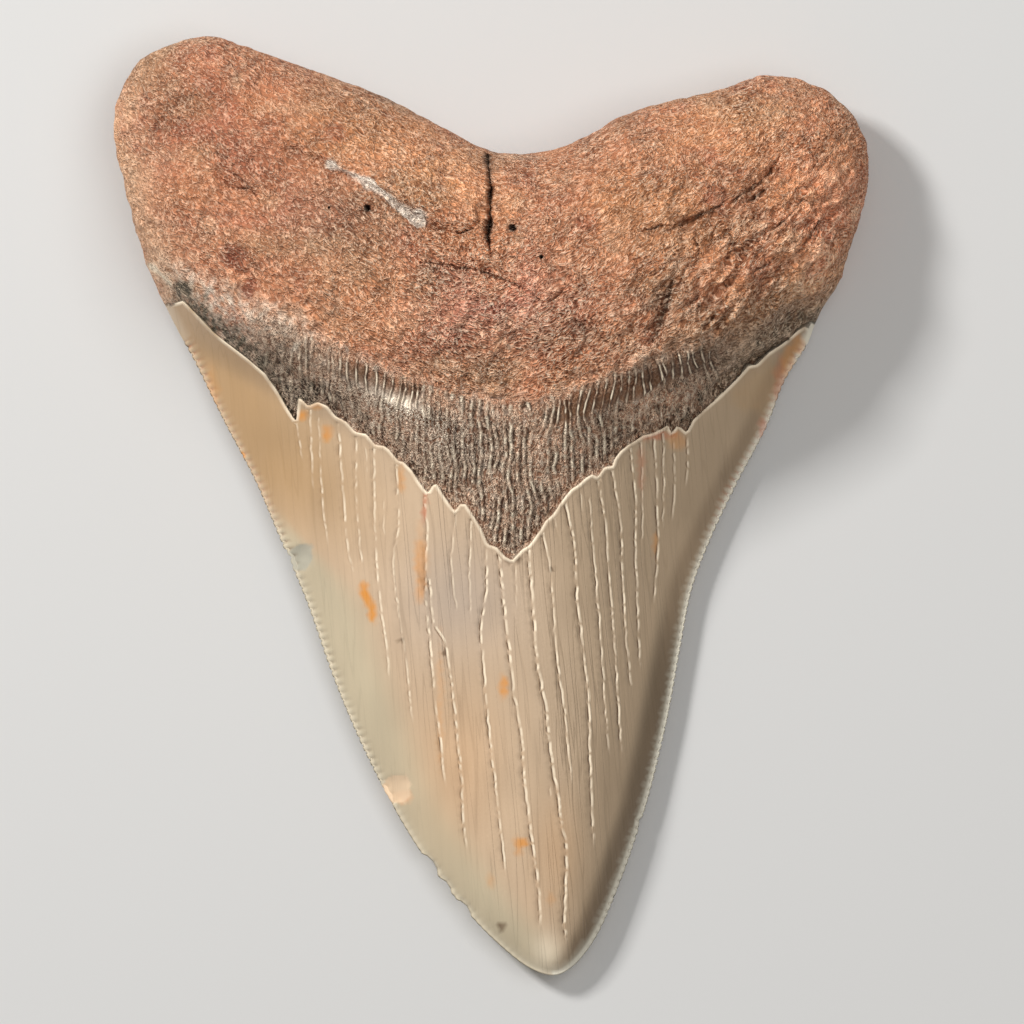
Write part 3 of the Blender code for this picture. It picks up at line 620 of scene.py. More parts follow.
def outline():
    """The outline, clockwise, and rows of points just inside it, with the depths of the edges' grooves."""
    whole = smooth_curve(ROOT_OUTLINE + CROWN_OUTLINE, OUTLINE_STEP, closed=True)[:-1]
    turn = [int(np.argmin(np.hypot(*(whole - spot).T))) for spot in SHOULDERS]
    root = even(whole[turn[0] : turn[1]], ROOT_EDGE_STEP)[:-1]
    wobble = [[noise.noise(Vector((x, y, z)) * 0.6) for z in (0.4, 8.4)] for x, y in root]
    root = root + 0.12 * np.array(wobble)
    crown = np.vstack([whole[turn[1] :], whole[: turn[0] + 1]])
    teeth = round(len(crown) * OUTLINE_STEP / SERRATION_PITCH)
    marks = np.linspace(0, len(crown) - 1, EDGE_STEPS * teeth + 1).astype(int)[1:-1]
    inward = inwards(crown, marks, 8)
    cut = crown[marks]
    number = np.arange(1, len(cut) + 1) / EDGE_STEPS
    gap = np.abs(np.cos(math.pi * number)) ** 5
    worn = ramp(2, 9, np.hypot(*(cut - TIP).T)) * (0.75 + 0.35 * grain(number / 5, number * 0, 10))
    worn *= 1 - 0.75 * ramp(5, 0, cut[:, 0]) * ramp(-24, -31, cut[:, 1])
    bites = np.array([bite(point) for point in cut])
    depth = gap * worn
    rows, grooves = [], []
    into_root = inwards(root, np.arange(len(root)), 2)
    for back in ROOT_RIM_DEPTHS:
        row = root + into_root * back
        row = row[to_line(row, root) > 0.8 * back]
        rows.append(row)
        grooves.append(np.zeros(len(row)))
    for back in RIM_DEPTHS:
        row = cut + inward * (back + SERRATION_DEPTH * depth + bites)[:, None]
        fits = to_edge(row) > 0.75 * back
        rows.append(row[fits])
        grooves.append((depth * (1 - back / 0.8))[fits])
    cut = cut + inward * (SERRATION_DEPTH * depth + bites)[:, None]
    return np.vstack([root, cut]), np.vstack(rows), np.concatenate(grooves)


def inside(points):
    """True for the points within the smooth outline."""
    crossings = np.zeros(len(points), int)
    for a, b in zip(SMOOTH_EDGE, SMOOTH_EDGE[1:]):
        spans = (a[1] > points[:, 1]) != (b[1] > points[:, 1])
        if spans.any():
            at = a[0] + (points[:, 1] - a[1]) * (b[0] - a[0]) / (b[1] - a[1] + 1e-12)
            crossings += spans & (points[:, 0] < at)
    return crossings % 2 == 1


def fill(step, jitter, seed):
    """A triangular grid of points inside the outline, each moved a little."""
    rows = []
    for row, y in enumerate(np.arange(-50, 50, step * math.sqrt(3) / 2)):
        xs = np.arange(-40, 40, step) + (row % 2) * step / 2
        rows.append(np.stack([xs, np.full(len(xs), y)], axis=1))
    grid = np.vstack(rows)
    grid = grid + np.random.default_rng(seed).uniform(-jitter, jitter, grid.shape) * step
    return grid[inside(grid)]


def sideways(line):
    """The direction across a line at each of its points."""
    ahead = np.gradient(line, axis=0)
    return np.stack([-ahead[:, 1], ahead[:, 0]], axis=1) / np.hypot(*ahead.T)[:, None]


class Lines:
    """Lines of points that the mesh keeps as edges. Each point has its own height, darkness, which is painted
    shade in recesses, and whiteness, which is partly painted highlight.
    """

    def __init__(self):
        self.points, self.rise, self.dark, self.white, self.folds, self.count = [], [], [], [], [], 0

    def add(self, line, keep, rise=0, dark=0, white=0):
        number = self.count + np.cumsum(keep) - 1
        self.folds += [
            (int(number[i]), int(number[i + 1])) for i in range(len(line) - 1) if keep[i] and keep[i + 1]
        ]
        kept = line[keep]
        self.points.append(kept)
        for store, value in ((self.rise, rise), (self.dark, dark), (self.white, white)):
            store.append(np.broadcast_to(value, len(line))[keep])
        self.count += len(kept)

    def arrays(self):
        return [np.concatenate(part) for part in (self.points, self.rise, self.dark, self.white)]


def lingual_lines():
    """The enamel's lip, the ribs, the small holes, the clefts and the cracks."""
    lines = Lines()
    across = sideways(ENAMEL_EDGE)
    shine = np.clip(0.75 + 0.5 * grain(*ENAMEL_EDGE.T / 0.8, 36), 0.2, 1)
    for offset, rise, white in LIP_PROFILE:
        line = ENAMEL_EDGE + across * offset
        away = to_line(line, ENAMEL_EDGE)
        true = (away > 0.8 * abs(offset)) & inside(line) & (to_edge(line) > 0.75)
        lines.add(line, true, rise, 0, white * shine)
    heights = np.arange(RIB_TOP, RIB_BOTTOM, -RIB_STEP)
    for start in np.arange(RIBS_FROM, RIBS_TO, RIB_PITCH):
        line = np.stack([rib_place(start + 0 * heights, heights), heights], axis=1)
        keep = (past_enamel(line) > 0.5) & (above_band(line) < 0.2) & (to_edge(line) > 1.2)
        share = rib_share(line)
        sparkle = share * np.clip(0.7 + 1.1 * grain(line[:, 0] / 0.5, heights / 0.36, 39), 0, 1.3)
        narrow = 1 - 0.5 * window_share(line)
        for offset, rise, dark, white in RIB_PROFILE:
            side = line + np.stack([offset * narrow, 0 * narrow], axis=1)
            lines.add(side, keep & (share > 0.15), rise * share, dark * share, white * sparkle)
    for x, y, radius in FORAMINA:
        for part, rise, dark in HOLE_PROFILE:
            turn = np.linspace(0, 2 * math.pi, HOLE_CORNERS)
            ring = np.stack([x + part * radius * np.cos(turn), y + part * radius * np.sin(turn)], axis=1)
            lines.add(ring, np.ones(len(ring), bool), rise, dark)
    for number, (depth, half_width, route) in enumerate(CLEFTS):
        line = smooth_curve(route, CLEFT_STEP)
        run = np.arange(len(line)) * CLEFT_STEP
        open_share = ramp(0, 1.5, run) * ramp(0, 2.5, run[-1] - run)
        open_share *= np.clip(0.7 + 0.8 * run_grain(run, 1.1, number, 6), 0.6, 1)
        across, deepness = sideways(line), min(1, 0.5 + 0.25 * depth)
        line = line + across * (0.2 / (1 + depth) * run_grain(run, 1.2, number, 45))[:, None]
        for offset, deep, dark in CLEFT_PROFILE:
            wander = 0.3 * run_grain(run, 0.5, number + 0.5 * offset, 37)
            side = line + across * (half_width * (offset * (0.3 + 0.7 * open_share) + wander))[:, None]
            keep = inside(side) & (to_edge(side) > 0.4)
            lines.add(side, keep, -depth * deep * open_share, dark * deepness * open_share)
    for number, (strength, route) in enumerate(CRACKS_PX):
        line = smooth_curve(places(route), CRACK_STEP)
        run = np.arange(len(line)) * CRACK_STEP
        line = line + sideways(line) * (0.07 * run_grain(run, 0.7, number, 12))[:, None]
        ends = ramp(0, 2.5, run[-1] - run) * (0.75 + 0.35 * run_grain(run, 1.6, number, 13))
        across = sideways(line)
        across *= np.where(across[:, :1] < 0, -1, 1)
        for offset, rise, dark, white in CRACK_PROFILE:
            side = line + across * offset * (0.55 + 0.45 * strength)
            away = to_line(side, ENAMEL_EDGE)
            keep = (side[:, 1] < on_line(side[:, 0], ENAMEL_EDGE)) & (away > 0.45)
            flecks = np.clip(0.8 + 1.2 * run_grain(run, 0.4, number, 14), 0, 1.3)
            force = strength * ends
            shade = unit(force) * (0.35 + 0.65 * ramp(-14, 2, side[:, 0]))
            height = rise * force * (0.6 + 0.5 * flecks)
            lines.add(side, keep, height, dark * shade * flecks, white * force * flecks)
    return lines


def triangulated(edge, rows, lines, loose, gap):
    """The places and triangles of one face, and for each place the number of the input point that it was."""
    points, _, _, _ = lines.arrays()
    start = len(edge) + len(rows)
    tree = KDTree(len(rows) + len(points))
    for i, (x, y) in enumerate(np.vstack([rows, points])):
        tree.insert((x, y, 0), i)
    tree.balance()
    clear = np.array([tree.find((x, y, 0))[2] for x, y in loose]) > gap
    everything = np.vstack([edge, rows, points, loose[clear]])
    folds = [(a + start, b + start) for a, b in lines.folds]
    rim = [list(range(len(edge)))]
    for _ in range(3):
        found, _, faces, origins, _, _ = delaunay_2d_cdt([Vector(p) for p in everything], folds, rim, 1, 1e-5)
        source = np.array([min(origin) if origin else -1 for origin in origins])
        order = np.argsort(np.where(source < 0, len(everything), source), kind="stable")
        new = np.empty(len(order), int)
        new[order] = np.arange(len(order))
        faces = new[np.array(faces)]
        flat = faces[faces.max(axis=1) < len(edge)]
        if not len(flat):
            break
        everything = np.vstack([everything, everything[flat].mean(axis=1)])
    return np.array(found)[order], faces, source[order]


def tone(red, green, blue):
    """The linear colour of an 8-bit screen colour."""
    value = np.array([red, green, blue]) / 255
    return np.where(value <= 0.04045, value / 12.92, ((value + 0.055) / 1.055) ** 2.4)


TAN = tone(200, 173, 143)
WARM_TAN = tone(180, 144, 101)
GREY_GREEN = tone(190, 177, 149)
BROWN_GREY_AND_SHADE = tone(162, 141, 115)
FLANK_SHADE_OLIVE = tone(96, 86, 70)
EDGE_SHADE_BROWN = tone(118, 96, 72)
PALE_RIM_AND_GLINT = tone(228, 222, 204)
CREAM = tone(250, 232, 204)
CRACK_BROWN = tone(96, 66, 42)
ORANGE = tone(218, 142, 54)
RUST = tone(196, 92, 50)
ROOT_BROWN = tone(212, 139, 100)
ROOT_PALE = tone(246, 196, 154)
ROOT_RED = tone(198, 118, 88)
ROOT_PEACH = tone(238, 166, 112)
ROOT_PLUM = tone(198, 134, 114)
ROOT_OLIVE = tone(176, 130, 90)
ROOT_DARK = tone(104, 64, 46)
WRINKLE_CREST_HIGHLIGHT = tone(216, 182, 152)
WING_GREY = tone(140, 122, 100)
CLEFT_DARK = tone(62, 40, 30)
BAND_GREY = tone(238, 190, 156)
BAND_DARK = tone(100, 76, 54)
BAND_BLACK = tone(54, 38, 24)
SCAR_GREY = tone(255, 240, 222)
BAND_WINDOW = tone(90, 60, 38)
BAND_PALE = tone(248, 230, 208)
MARGIN_GREY = tone(78, 70, 52)
FLAKE_GREY = tone(172, 168, 152)
LILAC_GREY = tone(178, 163, 150)
TOFFEE = tone(200, 160, 120)
PIT_RED = tone(128, 68, 48)
FLAKE_PINK = tone(226, 196, 162)
FLECK_AND_GLINT_WHITE = tone(255, 238, 214)

# Stains of the lingual enamel: x, y, half width, half height in the photo's pixels, strength, colour
STAINS_PX = [
    (303, 415, 5, 6, 0.9, ORANGE), (328, 433, 5, 8, 0.75, ORANGE), (316, 406, 9, 3, 0.6, ORANGE),
    (364, 590, 4, 8, 1, ORANGE), (368, 600, 4, 7, 1, ORANGE), (373, 611, 4, 12, 1, ORANGE),
    (504, 687, 5, 12, 0.8, ORANGE),
    (521, 842, 7, 6, 0.85, ORANGE), (519, 850, 4, 6, 0.5, ORANGE), (421, 566, 6, 38, 0.55, ORANGE),
    (425, 508, 2, 16, 0.6, RUST), (402, 480, 4, 14, 0.45, ORANGE), (491, 881, 4, 8, 0.35, ORANGE),
    (551, 898, 4, 8, 0.3, ORANGE), (655, 435, 26, 5, 0.55, RUST), (676, 440, 10, 10, 0.4, ORANGE),
    (780, 385, 6, 26, 0.5, RUST), (798, 345, 8, 10, 0.5, ORANGE), (641, 470, 3, 26, 0.3, RUST),
    (656, 545, 2, 14, 0.5, ORANGE), (242, 455, 3, 4, 0.8, ORANGE), (402, 796, 9, 7, 0.6, ROOT_PEACH),
    (440, 700, 3, 60, 0.25, ORANGE), (212, 400, 7, 30, 0.3, ORANGE),
    (760, 385, 34, 30, 0.35, WARM_TAN), (789, 362, 7, 18, 0.45, ORANGE), (764, 432, 5, 12, 0.45, RUST),
]
SHOULDER_CHIP_PX = [(150, 266), (160, 274), (171, 285)]
SHOULDER_STAIN_PX = (183, 288)
SCAR_END_PX = (416, 217)
SPECKS_PX = [
    (551, 569, 2.5), (508, 561, 3), (518, 560, 3), (443, 653, 2.5), (402, 640, 2), (501, 926, 4),
]
# The broad colours of either part: x, y, half width, half height, strength, colour
ENAMEL_PATCHES = [
    (-3.5, -9.5, 8.5, 8.5, 0.6, LILAC_GREY), (-3.5, -26, 6, 11, 0.55, TOFFEE),
    # The cream patch at the tip, last in this list, is a painted highlight on the tip's ridge.
    (6.5, -35, 3.5, 8, 0.5, TOFFEE), (5.6, -45.5, 2.2, 3, 0.6, CREAM),
]
ROOT_PATCHES = [
    (-27, 36, 12, 9, 0.85, ROOT_RED), (-14, 38, 11, 6, 0.8, ROOT_PEACH),
    (-5, 33, 8, 5, 0.8, ROOT_PEACH), (-16, 29, 9, 5, 0.6, ROOT_PLUM),
    (0, 20, 13, 9, 0.85, ROOT_PLUM), (-14, 22, 12, 8, 0.4, ROOT_PEACH),
    (17, 28, 14, 9, 0.5, ROOT_PEACH), (24, 38, 11, 7, 0.6, ROOT_PEACH),
    (35, 31, 6, 9, 0.5, ROOT_RED), (8, 13.5, 6, 4, 0.4, ROOT_PEACH),
]
# Where the root and its band are lighter or darker: partly their own tone, partly painted light on slopes and
# band parts that the lamp leaves in shade, such as the right lobe's lower side. x, y, half width, half
# height, how much
ROOT_TONE_AND_PAINTED_LIGHT = [
    (1, 20.5, 12, 8, 0.6), (24, 23, 8, 6, 0.45), (33.5, 27, 4.5, 7, 1.1),
    (29, 39, 9, 6, 0.4), (-7, 34, 8, 4, 0.4), (-27.5, 24.5, 6, 5, 0.25),
    (17, 35, 7, 5, 0.15), (2, 4, 8, 6, 0.32), (-9.6, 8.8, 6, 3, 0.95),
    (8, 6.8, 4, 3.5, 0.85), (16.1, 10.2, 4, 2, 1.2), (-16.8, 14.5, 4, 2.5, 0.25),
    (-22, 33, 9, 7, -0.12), (-34, 36, 5, 9, -0.1),
]
# The surface's grain: how fine its noises are along the attribute flow, or per metre
CRUMB_SCALE = (2.3, 2, 2.3)
STREAK_SCALE = (1.7, 0.09, 0.2)
SCRATCH_SCALE = (0.9, 0.022, 0.06)
THREAD_SCALE = (2700, 850, 2700)
DUST_SCALE = (5600, 2600, 5600)
RIDGE_MEAN = 0.36
MEAN_LIGHTNESS = 1.23
# A pale painted highlight for the grain's crests, and a dark tint for its gaps, partly painted shade
CREST_HIGHLIGHT_COLOUR = tone(255, 226, 196)
CREST_HIGHLIGHT_SHARE = 0.6
GAP_SHADE_TINT = (0.16, 0.075, 0.035)
GAP_SHARE = 0.65
SPECULAR = 0.3
BUMP_HEIGHT = 0.00017
# The sockets of a colour mix
MIX_SHARE, MIX_FIRST, MIX_SECOND, MIX_RESULT = 0, 6, 7, 2

# Where the painted shade of the crown's right flank begins, in the crown's lower part: y, x
SHADED_FLANK_LINE = [(-48, 7.6), (-44.5, 8.6), (-40, 10.2), (-30, 13.6), (-20, 15.6), (-6, 18)]


class Paint:
    """The colours of some points, laid over each other."""

    def __init__(self, count, colour):
        self.colour = np.tile(colour, (count, 1))

    def lay(self, share, colour):
        share = unit(share)[:, None]
        self.colour = self.colour * (1 - share) + colour * share

    def lay_patches(self, x, y, patches):
        for cx, cy, wide, high, strength, colour in patches:
            self.lay(mound(x, y, cx, cy, wide, high) ** 2 * strength, colour)

    def mottle(self, pattern, low, high, crests, gaps):
        """Lays a colour where a pattern is over 0 and another one where it is under 0."""
        for sign, (strength, colour) in ((1, crests), (-1, gaps)):
            self.lay(ramp(low, high, sign * pattern) * strength, colour)


def blot(points, x, y, wide, high):
    """1 at a place, fading to 0 at its half width and half height."""
    away = np.hypot((points[:, 0] - x) / wide, (points[:, 1] - y) / high)
    return ramp(1.3, 0.6, away + 0.25 * grain(points[:, 0] / 0.6, points[:, 1] / 0.8, 15))


def enamel_paint(points, distance):
    x, y = points.T
    share = width_share(points)
    from_left, from_right = x - on_line(y, LEFT_SIDE), on_line(y, RIGHT_SIDE) - x
    paint = Paint(len(points), TAN)
    paint.lay(ramp(16, 3, from_left) * ramp(-8, 4, y) * 0.85, WARM_TAN)
    clear_edge = 1.5 + 6 * ramp(1, -12, y)
    paint.lay(ramp(1, 0.4, from_left / clear_edge) * ramp(1, -4, y) * 0.85, GREY_GREEN)
    # Browner grey over the right half: partly the enamel's own tone, partly painted shade of the side that
    # faces away from the lamp.
    paint.lay(ramp(0.45, 0.85, share) * 0.75, BROWN_GREY_AND_SHADE)
    # Painted shade: dark olive over the crown's right flank towards the tip, which faces away from the lamp.
    paint.lay(ramp(-1, 0.8, x - on_line(y, SHADED_FLANK_LINE)) * ramp(-4, -18, y) * 0.8, FLANK_SHADE_OLIVE)
    # Painted shade: a brown band just inside the right cutting edge, where the face slopes away from the
    # lamp.
    paint.lay(ramp(3.2, 1.6, from_right) * ramp(0.4, 1.2, from_right) * 0.5, EDGE_SHADE_BROWN)
    paint.lay_patches(x, y, ENAMEL_PATCHES)
    streaks = 0.025 * grain(x / 0.9, y / 14, 16) + 0.05 * grain(x / 2.2, y / 3.5, 17)
    paint.colour *= (1 + streaks + 0.05 * grain(x / 6, y / 9, 18))[:, None]
    # A pale rim along the cutting edges, stronger on the right: partly the edges' own colour, partly painted
    # glints on the serrations.
    paint.lay(ramp(0.8, 0.3, distance) * (0.25 + 0.55 * ramp(0.4, 0.6, share)), PALE_RIM_AND_GLINT)
    for px, py, wide, high, strength, colour in STAINS_PX:
        mottle = 0.85 + 0.15 * grain(x / 0.3, y / 0.3, 19)
        paint.lay(blot(points, *place(px, py), wide * PIXEL, high * PIXEL) * strength * mottle, colour)
    for (cx, cy, radius, _), colour in zip(FLAKES, (FLAKE_GREY, FLAKE_PINK)):
        paint.lay(ramp(0, 0.25, flake_share(points, cx, cy, radius)) * 0.85, colour)
    for px, py, radius in SPECKS_PX:
        paint.lay(blot(points, *place(px, py), radius * PIXEL, radius * PIXEL) * 0.8, BAND_DARK)
    return paint.colour


def fleck_and_sheen_patch(points, band):
    """1 where the left half of the band is full of bright flecks, partly painted glints, and in a second spot
    of painted sheen.
    """
    x = points[:, 0]
    return mound(x, band, -8.5, -3.1, 5, 1.1) + 0.6 * mound(x, band, -4, -5.2, 3, 1.8)


def root_paint(points, band, past):
    """The root's colours, and where its windows and its band are."""
    x, y, z = points.T
    plan = points[:, :2]
    paint = Paint(len(points), ROOT_BROWN)
    paint.lay_patches(x, y, ROOT_PATCHES)
    # Painted highlight: a pale strip along the root's left edge, which faces the lamp.
    paint.lay(ramp(5, 0.5, x - on_line(y, LEFT_SIDE)) * 0.7, ROOT_PALE)
    paint.lay(ramp(8, 1, band) * ramp(10, 24, x) * 0.7, ROOT_OLIVE)
    mottle = grain(x / 3.2, y / 2.4, 20, z / 3) + 0.7 * grain(x / 1.3, y / 1.3, 21, z / 1.3)
    paint.mottle(mottle, 0.1, 1.3, (0.65, ROOT_RED), (0.5, ROOT_PALE))
    paint.mottle(grain(x / 6, y / 4.5, 49, z / 6), 0, 0.9, (0.55, ROOT_OLIVE), (0.45, ROOT_PEACH))
    fine = grain(x / 0.5, y / 0.5, 22, z / 0.5) + 0.8 * grain(x / 0.25, y / 0.27, 23, z / 0.3)
    paint.mottle(fine, 0.1, 1.2, (0.4, ROOT_PALE), (0.35, ROOT_DARK))
    # Painted shade in the fine creases of the root's skin.
    paint.lay(skin_creases(points) * 0.55, ROOT_DARK)
    scar = unit(2.4 * furrow_share(plan, 0.52, SCAR) - 0.9 + 0.6 * ramp(-15, -12.5, x))
    scar = np.maximum(scar, 0.8 * blot(plan, *place(*SCAR_END_PX), 0.9, 0.65))
    # Painted shade along the groove that holds the pale scar.
    paint.lay(furrow_share(plan, 0.9, SCAR) * 0.4, ROOT_DARK)
    paint.lay(scar * (1.5 + 0.8 * fine), SCAR_GREY)
    # Painted shade in the root's furrows, deeper furrows darker.
    for depth, half_width, route in ROOT_FURROWS:
        paint.lay(furrow_share(plan, 0.8 * half_width, route) * min(0.4, depth), ROOT_DARK)
    pale = ramp(-14, -22, x) * ramp(-36.5, -29, x) * ramp(3.2, 0, band)
    paint.lay(pale * (0.45 + 0.6 * fine), BAND_PALE)
    paint.lay(ramp(17, 22, x) * ramp(1.5, -1.5, band) * 0.75, WING_GREY)

    ragged = band + 0.8 * grain(x / 0.4, y / 1.5, 38) + 0.5 * grain(x / 2.5, y / 2, 46)
    ridge = wrinkles(points, band)
    # Painted light of the wrinkles: a pale highlight on their crests and painted shade in their valleys.
    paint.lay(np.clip(2.5 * ridge, 0, 0.4), WRINKLE_CREST_HIGHLIGHT)
    paint.lay(np.clip(-1.2 * ridge, 0, 0.35), ROOT_DARK)
    inband = ramp(1.9, -1.7, ragged) * ramp(-27, -21, x) * ramp(27, 20, x)
    speck = grain(x / 0.3, y / 0.5, 24) + 0.7 * grain(x / 0.22, y / 0.28, 25)
    ribbed = Paint(len(points), BAND_GREY)
    ribbed.mottle(speck, 0.1, 1, (0.8, BAND_PALE), (0.5, BAND_BLACK))
    ribbed.lay(ramp(-1, -4, band) * 0.1, BAND_DARK)
    # Darker specks towards the band's lower right: partly the band's own speckle, partly painted shade where
    # the band slopes down away from the lamp.
    lower = ramp(6, 14, x) * ramp(-2.4, -3.4, band)
    ribbed.lay(lower * ramp(0.3, -0.5, speck) * 0.5, BAND_BLACK)
    window = window_share(plan)
    ribbed.lay(window * 0.95, BAND_WINDOW)
    # Pale and white flecks on the band's left half, partly painted glints, with a painted sheen in the second
    # spot.
    flecks = fleck_and_sheen_patch(plan, band)
    ribbed.lay(flecks * 0.9, BAND_PALE)
    ribbed.lay(flecks * ramp(-0.1, 0.4, speck), FLECK_AND_GLINT_WHITE)
    lower = ramp(2.8, 1.2, past + 0.5 * speck) * ramp(-3, -8, x)
    ribbed.lay(lower * ramp(0.6, -0.4, speck) * 0.7, BAND_BLACK)
    # White flecks near the band's left end, partly painted glints.
    clear = mound(x, band, -20.3, -1.6, 1.8, 1)
    ribbed.lay(clear * ramp(-0.2, 0.4, grain(x / 0.5, y / 0.7, 47)), FLECK_AND_GLINT_WHITE)
    paint.colour = paint.colour * (1 - inband[:, None]) + ribbed.colour * inband[:, None]
    for px, py, radius, depth in ROOT_PITS:
        away = np.hypot(x - px, y - py) / (0.7 * radius) + 0.3 * grain(x / 0.6, y / 0.6, 48)
        paint.lay(ramp(1.4, 0.5, away) * min(0.85, 1.4 * depth), PIT_RED)
    # Partly painted light: lighter where the root and band face away from the lamp, elsewhere lighter or
    # darker in tone.
    tone_and_painted_light = np.ones(len(points))
    for cx, cy, wide, high, more in ROOT_TONE_AND_PAINTED_LIGHT:
        tone_and_painted_light += more * mound(x, y, cx, cy, wide, high)
    paint.colour *= tone_and_painted_light[:, None]
    groove = ramp(2.1, 0.9, past + 0.5 * speck)
    groove *= ramp(-14, -20, x) * ramp(-33.2, -31.6, x) + 0.6 * ramp(14, 20, x)
    paint.lay(groove * (0.75 - 0.5 * speck), MARGIN_GREY)
    paint.lay(blot(plan, *place(*SHOULDER_STAIN_PX), 1.1, 0.7) * 0.9, MARGIN_GREY)
    paint.lay(furrow_share(plan, 0.3, places(SHOULDER_CHIP_PX)) * 1.3, CREAM)
    return paint.colour, window * inband, inband


def labial_paint(points, distance):
    plan = points[:, :2]
    enamel = enamel_paint(plan, distance)
    beyond = np.full(len(points), 9)  # as far above the band as any point
    root, _, _ = root_paint(points, beyond, beyond)
    share = ramp(-0.1, 0.1, plan[:, 1] - on_line(plan[:, 0], LABIAL_LINE))[:, None]
    return enamel * (1 - share) + root * share, share[:, 0]


def strands(points, on_root):
    """Where to read the fine grain, so that it follows the lobes on the root and the cracks on the enamel."""
    x, y, z = points.T
    across = y - 0.5 * np.hypot(x, 6)
    warp = 0.5 * grain(x / 1.6, y / 1.6, 42, z / 1.6), 0.5 * grain(x / 1.6, y / 1.6, 43, z / 1.6)
    root = np.stack([x / 0.7 + warp[0], across / 0.5 + warp[1], z / 0.55], axis=1)
    crown = np.stack([(x + CRACK_LEAN * y) / 0.7, y / 0.5, z / 0.55], axis=1)
    return np.where(on_root[:, None] > 0.5, root, crown)


def corner_normals(points, faces):
    a, b, c = (points[faces[:, i]] for i in range(3))
    flat = np.cross(b - a, c - a)
    total = np.zeros_like(points)
    for corner in range(3):
        for axis in range(3):
            total[:, axis] += np.bincount(faces[:, corner], flat[:, axis], len(points))
    return total / (np.linalg.norm(total, axis=1, keepdims=True) + 1e-12)


def lingual_face(edge, rows, lines):
    """The lingual face's triangles, fine on the root and around the flakes and coarse on the enamel."""
    loose = fill(ROOT_FILL, 0.22, 1)
    loose = loose[(past_enamel(loose) > 0.1) & (to_edge(loose) > 0.45)]
    coarse = fill(ENAMEL_FILL, 0, 2)
    coarse = coarse[(past_enamel(coarse) < -0.2) & (to_edge(coarse) > 0.9)]
    finer = fill(0.4 * ENAMEL_FILL, 0.1, 4)
    near = np.array([np.hypot(*(finer - (cx, cy)).T) < radius for cx, cy, radius, _ in FLAKES]).any(axis=0)
    finer = finer[near]
    finer = finer[to_edge(finer) > 0.75]
    return triangulated(edge, rows, lines, np.vstack([loose, finer, coarse]), 0.17)


def labial_face(edge, rows):
    lines = Lines()
    across = np.arange(-32.6, 32.7, 0.5)
    for offset in (-0.15, 0, 0.15):
        line = np.stack([across, on_line(across, LABIAL_LINE) + offset], axis=1)
        lines.add(line, inside(line) & (to_edge(line) > 0.8))
    loose = fill(LABIAL_FILL, 0.15, 3)
    return triangulated(edge, rows, lines, loose[to_edge(loose) > 0.7], 0.3)[:2]


